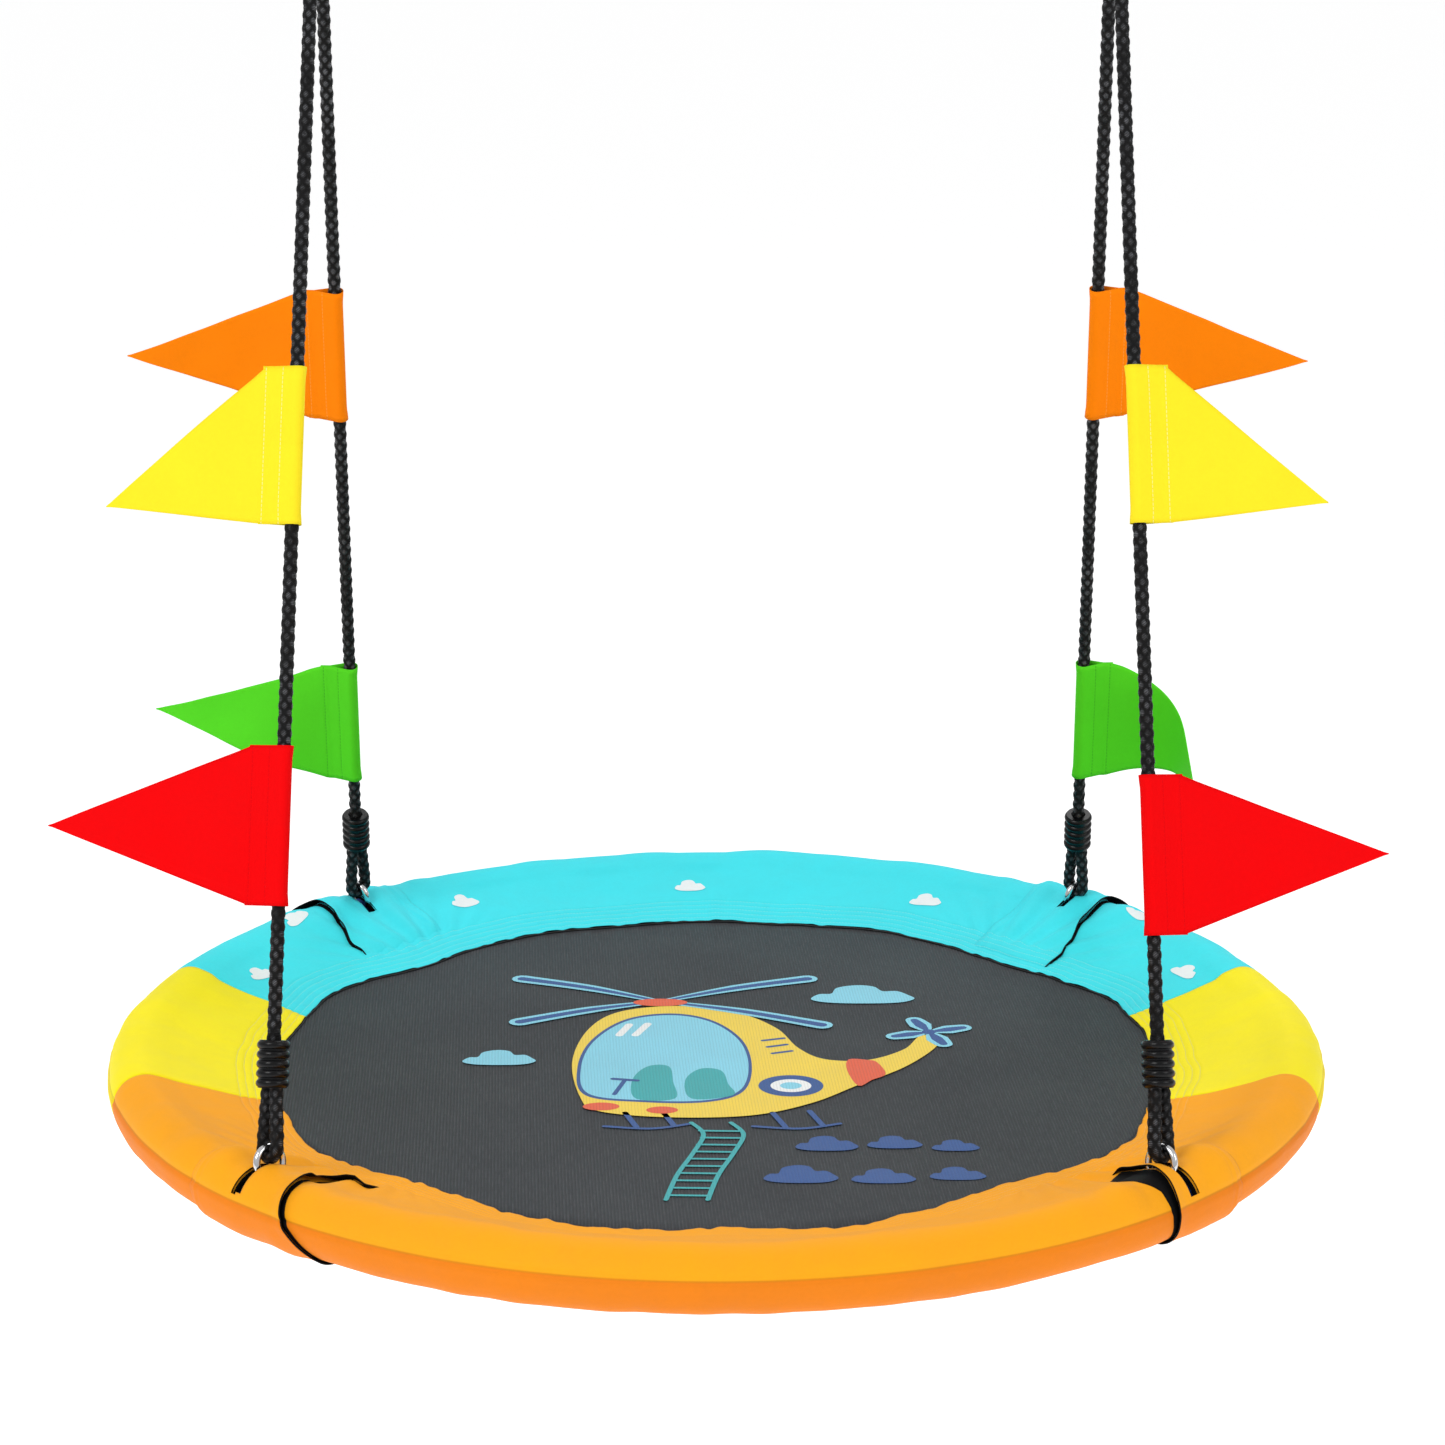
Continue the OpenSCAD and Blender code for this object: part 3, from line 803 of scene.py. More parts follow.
def cover_surface(th, w, rise=0.0, folds=True):
    """Points, outward directions and lengths of the cover's outside.

    w runs from 0 at the mat's edge to 1 at the roll, 2 under it and 3 at the lower edge.
    """
    sizes = settings()[0]
    th, w = np.broadcast_arrays(np.asarray(th, float), np.asarray(w, float))
    edge = edge_radius(th)
    drop = edge - RIM_R
    high, low = MAT_Z + LIP - RIM_Z, MAT_Z - 0.0016 - LIP - RIM_Z

    def touch(height, way):
        reach = np.hypot(drop, height)
        angle = np.arctan2(height, drop) - way * np.arccos(ROLL_R / reach)
        return angle, np.sqrt(reach ** 2 - ROLL_R ** 2)
    first, top = touch(high, 1)
    first = first % (2 * math.pi)
    last, under = touch(low, -1)
    last = (last + math.pi) % (2 * math.pi) - math.pi
    f, g, h = np.clip(w, 0, 1), np.clip(w - 1, 0, 1), np.clip(w - 2, 0, 1)
    angle = first + (last - first) * g
    across, up = np.cos(angle), np.sin(angle)
    r = RIM_R + ROLL_R * across - np.sin(first) * top * (1 - f) + np.sin(last) * under * h
    z = RIM_Z + ROLL_R * up + np.cos(first) * top * (1 - f) - np.cos(last) * under * h
    s = top * f + ROLL_R * (first - angle) + under * h
    from_seam = s - (top + ROLL_R * (first - SEAM))
    d = np.full(th.shape, rise)
    if folds:
        run = th * RIM_R
        above = (w <= 2.0)
        d = d - 0.0016 * np.sin(math.pi * np.clip(s / top, 0, 1)) * above
        for k in range(5):
            d = d - 0.00055 * bell(s, 0.006 + k * sizes.hem_row_gap, 0.0012)
        d = d + sizes.pucker_height * np.exp(-s / 0.030) * ripple(run / 0.010, s / 0.05, 11)
        slack = ramp(s, 0.030, 0.060) * (1 - ramp(w, 1.25, 1.6))
        d = d + sizes.fold_height * slack * ripple(run / 0.055, s / 0.11, 12)
        d = d + 0.0006 * ramp(s, 0.04, 0.07) * ripple(run / 0.022, s / 0.035, 13)
        d = d + 0.0009 * ramp(w, 1.0, 1.4) * ripple(run / 0.075, s / 0.03, 14)
        for end in HANG:
            for side, where in HANG[end].items():
                away = turned(th, where) * math.pi / 180 * RIM_R
                fan = away / (0.35 + np.clip(s / top, 0, 1))
                pull = bell(away, 0, 0.085) * ramp(s, 0.02, 0.05) * (1 - ramp(w, 1.1, 1.5))
                d = d + 0.0027 * pull * np.cos(fan * 2 * math.pi / 0.036 + where)
        d = d - 0.0014 * bell(from_seam, 0, 0.0016)
        d = d + 0.0005 * bell(from_seam, 0.004, 0.003)
        for where in SEAM_ANGLES:
            away = turned(th, where) * math.pi / 180 * RIM_R
            d = d - 0.0013 * bell(away, 0, 0.0028) * (w < 2.6)
    firm = ramp(w, 0.80, 0.92)
    d = d * (1 - firm) + np.maximum(d + 0.0007, rise - 0.0002) * firm
    r, z = r + d * across, z + d * up
    points = np.stack([r * np.cos(th), r * np.sin(th), z], axis=-1)
    outward = np.stack([across * np.cos(th), across * np.sin(th), up], axis=-1)
    return points, outward, s, from_seam, r


SIDE_HALF = 16.5                 # half the angle of a yellow side cover
SEAM_ANGLES = (SIDE_HALF, 180 - SIDE_HALF, 180 + SIDE_HALF, 360 - SIDE_HALF)
COVERS = {"right": (-SIDE_HALF, SIDE_HALF, ()), "back": (SIDE_HALF, 180 - SIDE_HALF, (45, 135)),
          "left": (180 - SIDE_HALF, 180 + SIDE_HALF, ()),
          "front": (180 + SIDE_HALF, 360 - SIDE_HALF, (225, 315))}


def section_steps():
    hem = np.linspace(0, 0.40, 32)
    slope = np.linspace(0.40, 1, 18)[1:]
    roll = np.linspace(1, 2, 46)[1:]
    under = np.linspace(2, 3, 16)[1:]
    return np.concatenate([hem, slope, roll, under])


def angle_steps(start, stop, slots, half, step=0.0033):
    """Angles across a cover, with lines on both edges of each slot."""
    cut = math.degrees(half / ((SLOT_FROM + SLOT_TO) / 2))
    marks = [start] + [x for s in slots for x in (s - cut, s + cut)] + [stop]
    out = [start]
    for a, b in zip(marks, marks[1:]):
        n = max(2, int(round(math.radians(b - a) * RIM_R / step)))
        out += list(np.linspace(a, b, n + 1)[1:])
    return np.radians(out), cut


def slot_hole(th, r, z, slots, cut):
    """Faces of a grid that lie in a slot."""
    middle = (th[:-1, :-1] + th[1:, 1:]) / 2
    radius = (r[:-1, :-1] + r[1:, 1:]) / 2
    height = (z[:-1, :-1] + z[1:, 1:]) / 2
    hole = np.zeros(middle.shape, bool)
    for s in slots:
        hole |= (np.abs(turned(middle, s)) < cut) & (radius > SLOT_FROM) \
            & (radius < SLOT_TO) & (height > RIM_Z + 0.001)
    return hole


def cover_maps(th, s, from_seam):
    run = th * RIM_R
    return {"flat": np.stack([run, s], axis=-1), "round": np.stack([run, from_seam], axis=-1)}


def lining_material():
    return plain_material("Black lining", (0.003, 0.003, 0.0035), (0.009, 0.009, 0.01),
                          60.0, 0.0004, 0.6, 0.8, Specular_IOR_Level=0.12)


class SWING_OT_covers(bpy.types.Operator):
    """Add the four sewn covers of the padded rim"""
    bl_idname = "swing.covers"
    bl_label = "Rim covers"

    def execute(self, context):
        sizes, colours, _ = settings()
        # each look: material name, cloth colour, thread colour, and the painted shade colour of
        # the cloth below the outer seam
        yellow = ("Yellow cloth", colours.yellow, paint(206, 206, 150), paint(246, 220, 14))
        looks = {"back": ("Turquoise cloth", colours.turquoise, paint(150, 240, 240),
                          paint(46, 204, 220)),
                 "front": ("Orange cloth", colours.orange, paint(255, 196, 110),
                           paint(240, 132, 12)),
                 "left": yellow, "right": yellow}
        lining = lining_material()
        w = section_steps()
        for name, (start, stop, slots) in COVERS.items():
            angles, cut = angle_steps(start, stop, slots, SLOT_HALF)
            th, ww = np.meshgrid(angles, w)
            points, _, s, from_seam, r = cover_surface(th, ww)
            hole = slot_hole(th, r, points[..., 2], slots, cut)
            look = looks[name]
            cloth = cover_material(look[0], tuple(look[1]), *look[2:])
            piece = grid_piece(f"cover_cloth_{name}", points, cover_maps(th, s, from_seam),
                               [cloth, lining], hole=hole, turned_over=True)
            thicken(piece, sizes.cover_cloth, lining=1)
            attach(piece, "seat")
            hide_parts(f"cover_{name}")
        return {"FINISHED"}


# ---- bands round the rope slots ----

# Free edge of a band: how far past the slot in degrees, at steps of the cover's section
BAND_EDGE = {("front", "left"): ((0.43, 8.6), (0.53, 4.4), (0.71, 3.0), (1.05, 4.9),
                                 (1.27, 5.5), (1.46, 6.2), (1.60, 7.4), (1.80, 9.0),
                                 (2.45, 9.6)),
             ("front", "right"): ((0.62, 1.2), (0.98, 1.5), (1.34, 2.5), (1.55, 2.5),
                                  (1.80, 2.1), (2.45, 2.0)),
             ("back", "left"): ((0.30, 7.8), (0.46, 7.9), (0.65, 6.8), (0.89, 4.9),
                                (1.18, 4.8), (1.35, 6.4), (1.60, 7.6), (2.45, 8.5)),
             ("back", "right"): ((0.06, 7.5), (0.21, 7.7), (0.42, 6.6), (0.66, 5.1),
                                 (0.92, 3.7), (1.19, 3.4), (1.45, 5.0), (2.45, 7.5))}
BAND_WAY = {("front", "left"): 1, ("front", "right"): -1,
            ("back", "left"): 1, ("back", "right"): -1}
BAND_FAR = {"front": 6.8, "back": 5.8}       # sewn side of a band, degrees from the slot
# Width of the dark strip in the gap beside a band, in degrees: black lining and painted shadow
# of the lifted edge; the front right one stands open
THIN_GAP = ((0.0, 0.04), (1.0, 0.10), (1.5, 0.20), (1.9, 0.04))
OPEN_GAP = ((0.62, 0.0), (0.70, 2.4), (0.84, 3.4), (1.10, 2.3), (1.27, 0.9), (1.42, 0.5),
            (1.76, 0.2), (1.95, 0.0))


def facing(way, *grids):
    """The grids, or the grids turned over where the way is less than 0."""
    return grids if way > 0 else tuple(grid[:, ::-1] for grid in grids)


class SWING_OT_bands(bpy.types.Operator):
    """Add the bands that wrap the rim at the ropes, with their dark binding"""
    bl_idname = "swing.bands"
    bl_label = "Bands"

    def execute(self, context):
        sizes = settings()[0]
        dark = lining_material()
        for (end, side), way in BAND_WAY.items():
            slot = HANG[end][side]
            knots = np.array(BAND_EDGE[(end, side)])
            start_w = knots[0, 0]
            w = np.concatenate([np.linspace(knots[0, 0], 1, 16), np.linspace(1, 2, 46)[1:],
                                np.linspace(2, knots[-1, 0], 10)[1:]])
            free = np.interp(w, knots[:, 0], knots[:, 1])
            for _ in range(3):
                free[1:-1] = (free[:-2] + free[1:-1] * 2 + free[2:]) / 4
            cut = math.degrees((SLOT_HALF - 0.0005) / 0.478)
            far = BAND_FAR[end]
            t_far = np.linspace(0, 1, 24)[:-1]
            t_near = np.linspace(0, 1, 14)
            offset = np.array([np.concatenate([-far + (far - cut) * t_far, [-cut, 0.0],
                                               cut + (edge - cut) * t_near])
                               for edge in free])
            th = np.radians(slot + way * offset)
            ww = np.repeat(w[:, None], th.shape[1], axis=1)
            near = (free[:, None] - offset) * math.pi / 180 * RIM_R
            start = (offset + far) * math.pi / 180 * RIM_R
            rise = 0.0006 + 0.0018 * ramp(start, 0, 0.008)
            rise = rise + sizes.band_lift * bell(near, 0, 0.007) * ramp(ww, 0.40, 0.75) \
                * (1 - 0.8 * ramp(ww, 1.25, 1.75))
            rise = rise - 0.0007 * (bell(start, 0.005, 0.0012) + bell(start, 0.0115, 0.0012))
            rise = rise + 0.0010 * ramp(ww, 0.6, 0.9) * ripple(th * RIM_R / 0.018, ww * 1.5, 31)
            rise = rise * ramp(ww, start_w - 0.04, start_w + 0.12) + 0.0003
            sink = 0.0021 * (1 - ramp(w, start_w, start_w + 0.09))[:, None]
            rise = rise - sink
            points, outward, s, from_seam, r = cover_surface(th, ww, rise)
            hole = slot_hole(th, r, points[..., 2], (slot,), cut + 0.05)
            th, points, s, from_seam, hole = facing(way, th, points, s, from_seam, hole)
            tint = "orange" if end == "front" else "turquoise"
            cloth = bpy.data.materials[tint.capitalize() + " cloth"]
            piece = grid_piece(f"band_cloth_{end}_{side}", points,
                               cover_maps(th, s, from_seam), [cloth, dark], hole=hole,
                               turned_over=True)
            thicken(piece, 0.0009, lining=1)
            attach(piece, "seat")
            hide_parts(f"band_{end}_{side}")
            column = -1 if way > 0 else 0
            rim_line = points[:, column] + outward[:, -1] * -0.0004
            binding = sweep(f"band_binding_{end}_{side}", spaced(rim_line, 0.0022), 0.0006,
                            8, dark, np.array([0.0, 0.0, 1.0]))
            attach(binding, "seat")
            # dark sheet in the gap that the lifted edge leaves: the black lining seen there,
            # and painted shadow of the lifted edge on the cover
            t_gap = np.linspace(0, 1, 9)
            steps = np.array(OPEN_GAP if (end, side) == ("front", "right") else THIN_GAP)
            gap_from = free - math.degrees(0.004 / RIM_R)
            gap_to = free + np.interp(w, steps[:, 0], steps[:, 1])
            off = gap_from[:, None] + (gap_to - gap_from)[:, None] * t_gap[None, :]
            gap_th = np.radians(slot + way * off)
            gap_w = np.repeat(w[:, None], len(t_gap), axis=1)
            gap_rise = 0.0007 - 0.0005 * np.abs(2 * t_gap[None, :] - 1) - sink
            points, _, s, from_seam, _ = cover_surface(gap_th, gap_w, gap_rise)
            points, gap_th, s, from_seam = facing(way, points, gap_th, s, from_seam)
            gap = grid_piece(f"band_gap_{end}_{side}", points,
                             cover_maps(gap_th, s, from_seam), [dark], turned_over=True)
            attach(gap, "seat")
        return {"FINISHED"}


# ---- mat and its print ----

class SWING_OT_mat(bpy.types.Operator):
    """Add the woven mat and the dark thread along the covers' edge"""
    bl_idname = "swing.mat"
    bl_label = "Mat"

    def execute(self, context):
        sizes, colours, _ = settings()
        radius = MAT_R + 0.002
        count = int(2 * radius / (sizes.rib_pitch / 4))
        x = np.linspace(-radius + 0.0008, radius - 0.0008, count)
        t = np.linspace(-1, 1, 29)
        xx, tt = np.meshgrid(x, t)
        yy = tt * np.sqrt(radius ** 2 - xx ** 2)
        rib = np.sin(2 * math.pi * (xx + 0.06 * yy) / sizes.rib_pitch)
        sag = -0.0006 * (1 - (np.hypot(xx, yy) / radius) ** 2)
        zz = MAT_Z - 0.0001 + 0.00012 * rib + sag
        cloth = mat_material("Woven mat", tuple(colours.mat), paint(106, 110, 116))
        piece = grid_piece("mat_weave", np.stack([xx, yy, zz], axis=-1),
                           {"flat": np.stack([xx, yy], axis=-1)}, [cloth])
        thicken(piece, 0.0012)
        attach(piece, "seat")
        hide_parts("seat_mat")

        dark = plain_material("Black thread", (0.006, 0.006, 0.007), (0.02, 0.02, 0.022),
                              80.0, 0.0003, 0.5, 0.7)
        th = np.linspace(0, 2 * math.pi, 1200)
        r = edge_radius(th % (2 * math.pi)) - 0.0006
        z = MAT_Z + 0.0006 + 0.0002 * ripple(th * RIM_R / 0.004, 0, 51)
        line = np.stack([r * np.cos(th), r * np.sin(th), z], axis=-1)
        thread = sweep("edge_thread", line, 0.0009, 8, dark, np.array([0.0, 0.0, 1.0]))
        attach(thread, "seat")
        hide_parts("mat_edging")
        return {"FINISHED"}


def stroke(points, width, steps=8):
    """Outline of a line drawn with a round-ended brush."""
    p = np.asarray(points, float)
    n = len(p)
    line = np.array([between(p[max(i - 1, 0)], p[i], p[i + 1], p[min(i + 2, n - 1)], s / steps)
                     for i in range(n - 1) for s in range(steps)] + [p[-1]])
    way = np.gradient(line, axis=0)
    way /= np.linalg.norm(way, axis=1)[:, None]
    side = np.stack([-way[:, 1], way[:, 0]], axis=1)
    half = np.full(len(line), width / 2) if np.isscalar(width) else \
        np.interp(np.linspace(0, 1, len(line)), np.linspace(0, 1, len(width)), width) / 2
    left, right = line + side * half[:, None], line - side * half[:, None]

    def cap(centre, direction, r):
        base = math.atan2(direction[1], direction[0])
        return [centre + r * np.array([math.cos(base + a), math.sin(base + a)])
                for a in np.linspace(math.pi / 2, -math.pi / 2, 7)[1:-1]]
    return np.array(list(left) + cap(line[-1], way[-1], half[-1])
                    + list(right[::-1]) + cap(line[0], -way[0], half[0]))


def cloud(x, y, wide, tall):
    """Outline of a cloud: a flat foot and three rounded tops."""
    shape = [(-0.50, 0.0), (-0.42, 0.22), (-0.30, 0.25), (-0.24, 0.50), (-0.05, 0.62),
             (0.12, 0.56), (0.20, 0.36), (0.34, 0.36), (0.44, 0.20), (0.50, 0.02),
             (0.34, -0.14), (0.0, -0.18), (-0.34, -0.14)]
    return closed_curve([(x + wide * a, y + tall * b) for a, b in shape], 5)


def disc(x, y, rx, ry=None):
    ry = rx if ry is None else ry
    return np.array([(x + rx * math.cos(a), y + ry * math.sin(a))
                     for a in np.linspace(0, 2 * math.pi, 48, endpoint=False)])


def art():
    """Flat shapes of the mat's print: layer, ink and outline in mm from its middle."""
    body = closed_curve([(-112, -92), (-96, -124), (-40, -138), (28, -134), (78, -106),
                         (118, -64), (158, -22), (186, 24), (192, 52), (176, 56),
                         (160, 22), (128, -4), (92, -2), (70, 26), (52, 76), (18, 116),
                         (-34, 134), (-86, 118), (-112, 70), (-122, -10)])
    glass = closed_curve([(-108, -88), (-60, -104), (-8, -104), (22, -80), (30, -20),
                          (22, 46), (-4, 96), (-40, 114), (-80, 98), (-108, 44),
                          (-117, -24)])
    inner = glass.mean(axis=0) + (glass - glass.mean(axis=0)) * 0.96
    shapes = [(1, "yellow", body), (2, "blue", glass), (3, "sky", inner)]
    # seat backs, a plain stick and the glint seen in the glass
    shapes += [(4, "teal", closed_curve([(-66, -96), (-70, -52), (-58, -20), (-40, -20),
                                         (-36, -56), (-34, -96)], 6)),
               (4, "teal", closed_curve([(-20, -96), (-26, -54), (-14, -26), (4, -30),
                                         (10, -62), (14, -88)], 6)),
               (5, "blue", stroke([(-84, -86), (-76, -52)], 4)),
               (6, "blue", stroke([(-86, -50), (-66, -54)], 5)),
               (4, "white", stroke([(-84, 58), (-76, 84)], 7)),
               (4, "white", stroke([(-70, 58), (-60, 86)], 7))]
    # stripe, lamps, vents and a plain roundel
    shapes += [(3, "red", closed_curve([(118, -66), (130, -52), (142, -38), (136, -10),
                                        (128, -4), (112, -3), (110, -30)], 4)),
               (3, "red", disc(-94, -114, 15, 9)), (3, "red", disc(-44, -122, 13, 8)),
               (3, "blue", stroke([(40, 44), (58, 50)], 4)),
               (3, "blue", stroke([(44, 28), (60, 34)], 4)),
               (3, "blue", stroke([(48, 12), (64, 18)], 4)),
               (3, "blue", disc(62, -66, 27, 25)), (4, "white", disc(62, -66, 17, 15)),
               (5, "sky", disc(62, -66, 9, 8))]
    # main rotor
    hub = (-50, 146)
    for k, tip in enumerate(((-176, 208), (-172, 92), (82, 208), (92, 84))):
        blade = [hub, tuple(np.add(hub, tip) / 2 + (0, 5)), tip]
        shapes += [(2 + k % 2, "sky", stroke(blade, [6, 16, 19])),
                   (4 + k % 2, "blue", stroke(blade, [3, 7, 9]))]
    shapes.append((6, "red", disc(hub[0], hub[1] - 3, 24, 10)))
    # tail rotor
    for k, a in enumerate((20, 110, 200, 290)):
        lead = np.array([math.cos(math.radians(a)), math.sin(math.radians(a))])
        start = np.array([184.0, 66.0])
        blade = [tuple(start + lead * far) for far in (5, 18, 32)]
        shapes += [(2 + k % 2, "sky", stroke(blade, [9, 20, 16])),
                   (4 + k % 2, "blue", stroke(blade, [4, 10, 7]))]
    shapes.append((6, "blue", disc(184, 66, 6)))
    # landing rails
    for x in (-56, 64):
        shapes += [(0, "blue", stroke([(x - 34, -158), (x + 4, -163), (x + 36, -152)], 4)),
                   (1, "blue", stroke([(x - 18, -128), (x - 8, -160)], 5)),
                   (1, "blue", stroke([(x + 12, -124), (x + 22, -156)], 5))]
    # rope ladder
    left = np.array([(-20, -150), (-10, -176), (-18, -216), (-30, -262), (-38, -312)], float)
    shapes += [(2, "teal", stroke(left, 4)), (2, "teal", stroke(left + (32, 0), 4))]
    for y in range(-168, -306, -15):
        x = float(np.interp(-y, -left[:, 1], left[:, 0]))
        shapes.append((3, "teal", stroke([(x, y), (x + 31, y - 1)], 3.4)))
    shapes += [(0, "sky", cloud(130, 152, 92, 62)), (0, "sky", cloud(-184, -8, 62, 46))]
    # two rows of small blue clouds
    shapes += [(0, "blue", cloud(x, y, wide, tall)) for x, y, wide, tall in
               ((88, -204, 50, 40), (142, -200, 44, 34), (190, -206, 38, 30),
                (66, -270, 58, 46), (130, -272, 50, 38), (188, -266, 44, 34))]
    return shapes


class SWING_OT_print(bpy.types.Operator):
    """Add the picture on the mat and the small clouds on the turquoise cloth"""
    bl_idname = "swing.print"
    bl_label = "Prints"

    def execute(self, context):
        _, colours, _ = settings()
        inks = {name: ink_material(name.capitalize() + " ink",
                                   tuple(getattr(colours, "ink_" + name)))
                for name in ("yellow", "blue", "sky", "red", "teal")}
        inks["white"] = ink_material("White ink", paint(244, 246, 246))
        names = list(inks)
        points, faces, which = [], [], []
        for layer, ink, outline in art():
            z = MAT_Z + PRINT_LIFT + LAYER_STEP * layer
            faces.append(tuple(range(len(points), len(points) + len(outline))))
            points += [(x * MM, y * MM, z) for x, y in outline]
            which.append(names.index(ink))
        flat = np.array(points)[:, :2]
        piece = new_piece("mat_print", points, faces, {"flat": flat}, [inks[n] for n in names])
        for polygon, slot in zip(piece.data.polygons, which):
            polygon.material_index = slot
            polygon.use_smooth = False
            if polygon.normal.z < 0:
                polygon.flip()
        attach(piece, "seat")

        white = cloth_ink_material("White cloth ink", paint(240, 248, 250))
        spots = ((93.5, 0.52), (62.5, 0.52), (123, 0.62), (158, 0.58), (21, 0.66),
                 (144.5, 0.98), (36, 1.04), (78, 1.30), (108, 1.34), (154, 1.42), (26, 1.45),
                 (64, 1.52), (120, 1.52), (92, 1.58))
        points, faces, maps = [], [], []
        rings = 5
        for i, (where, level) in enumerate(spots):
            outline = cloud(0, 0, CLOUD_WIDE + 2 * math.sin(i * 2.1), CLOUD_TALL)
            turn = 0.25 * math.sin(i * 1.7)
            spin = np.array([[math.cos(turn), -math.sin(turn)],
                             [math.sin(turn), math.cos(turn)]])
            outline = outline @ spin.T * MM
            middle = np.array([0.0, 0.005])
            n = len(outline)
            base = len(points)
            flat = np.vstack([middle] + [middle + (outline - middle) * k / rings
                                         for k in range(1, rings + 1)])
            th = math.radians(where) - flat[:, 0] / RIM_R
            w = level + flat[:, 1] / 0.102
            place, outward, s, _, _ = cover_surface(th, w)
            place = place + outward * 0.00045
            points += place.tolist()
            maps += np.stack([th * RIM_R, s], axis=-1).tolist()
            for j in range(n):
                k = (j + 1) % n
                faces.append((base, base + 1 + j, base + 1 + k))
                for a in range(base + 1, base + 1 + (rings - 1) * n, n):
                    faces.append((a + j, a + n + j, a + n + k, a + k))
        clouds = new_piece("cover_clouds", points, faces, {"flat": np.array(maps)}, [white])
        for polygon in clouds.data.polygons:
            x, y, z = polygon.center
            reach = 1 - (RIM_R - 0.004) / math.hypot(x, y)
            if polygon.normal.dot(Vector((x * reach, y * reach, z - RIM_Z))) < 0:
                polygon.flip()
        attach(clouds, "seat")
        return {"FINISHED"}


# ---- flags ----

# Side, end, height above the seat rings, cut length, drop of the tip, bend and wave
FLAGS = {"upper_back_left": ("left", "back", 0.537, 0.175, 0.006, 6, 0.004),
         "upper_back_right": ("right", "back", 0.539, 0.175, 0.006, -6, 0.004),
         "upper_front_left": ("left", "front", 0.515, 0.139, 0.050, 8, 0.003),
         "upper_front_right": ("right", "front", 0.516, 0.139, 0.050, -8, 0.003),
         "lower_back_left": ("left", "back", 0.183, 0.178, 0.004, 14, 0.006),
         "lower_back_right": ("right", "back", 0.186, 0.178, 0.009, -86, 0.001),
         "lower_front_left": ("left", "front", 0.240, 0.176, 0.004, 7, 0.003),
         "lower_front_right": ("right", "front", 0.219, 0.176, 0.004, -7, 0.003)}


def flag_line(reach, hem, bend, clearance):
    """Cloth's line seen along the rope, from the sewn flap round the rope to the tip."""
    joint = 0.0165
    touch = math.acos(clearance / joint)
    gap = 0.00045
    line = [(x, gap) for x in np.linspace(hem, joint + 0.001, 9)]
    line += [(clearance * math.cos(a), clearance * math.sin(a))
             for a in np.linspace(touch, 2 * math.pi - touch, 26)]
    line += [(joint + 0.001, -gap)]
    x, y = line[-1]
    step, free = 0.0035, reach - joint
    first, last = (0.0, 0.66) if abs(bend) > 45 else (0.12, 1)
    for gone in range(int(free / step) + 1):
        heading = math.radians(bend) * ramp(min(gone * step / free, 1.0), first, last)
        x += step * math.cos(heading)
        y += step * math.sin(heading)
        line.append((x, y))
    return np.array(line)


class SWING_OT_flags(bpy.types.Operator):
    """Add the eight pennants, each folded round its rope and sewn"""
    bl_idname = "swing.flags"
    bl_label = "Flags"

    def execute(self, context):
        sizes, colours, _ = settings()
        looks = {"upper_back": ("Orange flag cloth", colours.flag_orange,
                                paint(255, 176, 90), "orange_flag"),
                 "upper_front": ("Yellow flag cloth", colours.flag_yellow,
                                 paint(255, 250, 196), "yellow_flag"),
                 "lower_back": ("Green flag cloth", colours.flag_green,
                                paint(30, 130, 40), "green_flag"),
                 "lower_front": ("Red flag cloth", colours.flag_red,
                                 paint(214, 4, 16), "red_flag")}
        for index, (name, spec) in enumerate(FLAGS.items()):
            side, end, height, reach, drop, bend, wave = spec
            foot, out, _, up, _ = rope_axes(end, side, (SIDES[side], 0, 0))
            back = unit(np.array([0.0, 1.0, 0.0]) - up[1] * up)
            back = back - np.dot(back, out) * out
            middle = foot + up * (height / up[2])
            line = flag_line(reach, sizes.flag_hem, bend, 0.0063)
            run = np.concatenate([[0], np.cumsum(np.hypot(*np.diff(line, axis=0).T))])
            # cloth coordinate: distance from the rope's middle, less than 0 on the flap
            start = 10 + 24
            cloth = run - run[start] + line[start, 0]
            share = np.clip((cloth - 0.024) / (cloth[-1] - 0.024), 0, 1)
            half = sizes.flag_height / 2
            top = half + (-drop - half) * share
            low = -half + (-drop + half) * share
            tip = 0.0004
            top, low = np.maximum(top, -drop + tip), np.minimum(low, -drop - tip)
            rows = np.linspace(0, 1, 27)
            zz = low[None, :] + (top - low)[None, :] * rows[:, None]
            x, y, c = (np.tile(values, (len(rows), 1))
                       for values in (line[:, 0], line[:, 1], cloth))
            far = ramp(c, 0.026, 0.09)
            y = y + wave * far * np.sin(c * 26 + zz * 22 + index)
            y = y + 0.0012 * far * ripple(c / 0.03, zz / 0.035, 90 + index)
            # the sleeve's open ends spread a little
            open_end = ramp(np.abs(zz), half - 0.012, half)
            sleeve = bell(x, -0.002, 0.008)
            x = x - 0.0012 * open_end * sleeve
            corner = ramp(c, 0.02, 0.04) * ramp(-c, -0.075, -0.03) * ramp(zz, half - 0.03, half)
            y = y + 0.003 * corner
            points = middle + x[..., None] * out + y[..., None] * back + zz[..., None] * up
            look = looks[name.rsplit("_", 1)[0]]
            cloth_look = flag_material(look[0], tuple(look[1]), look[2])
            points, c, zz = facing(-SIDES[side], points, c, zz)
            piece = grid_piece(f"flag_cloth_{name}", points,
                               {"flat": np.stack([np.abs(c), zz], axis=-1)}, [cloth_look])
            thicken(piece, sizes.flag_cloth, 0.0)
            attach(piece, f"flag_{name}")
            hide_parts(f"flag_{name}")
        return {"FINISHED"}


# ---- finishes of the frame's own parts ----

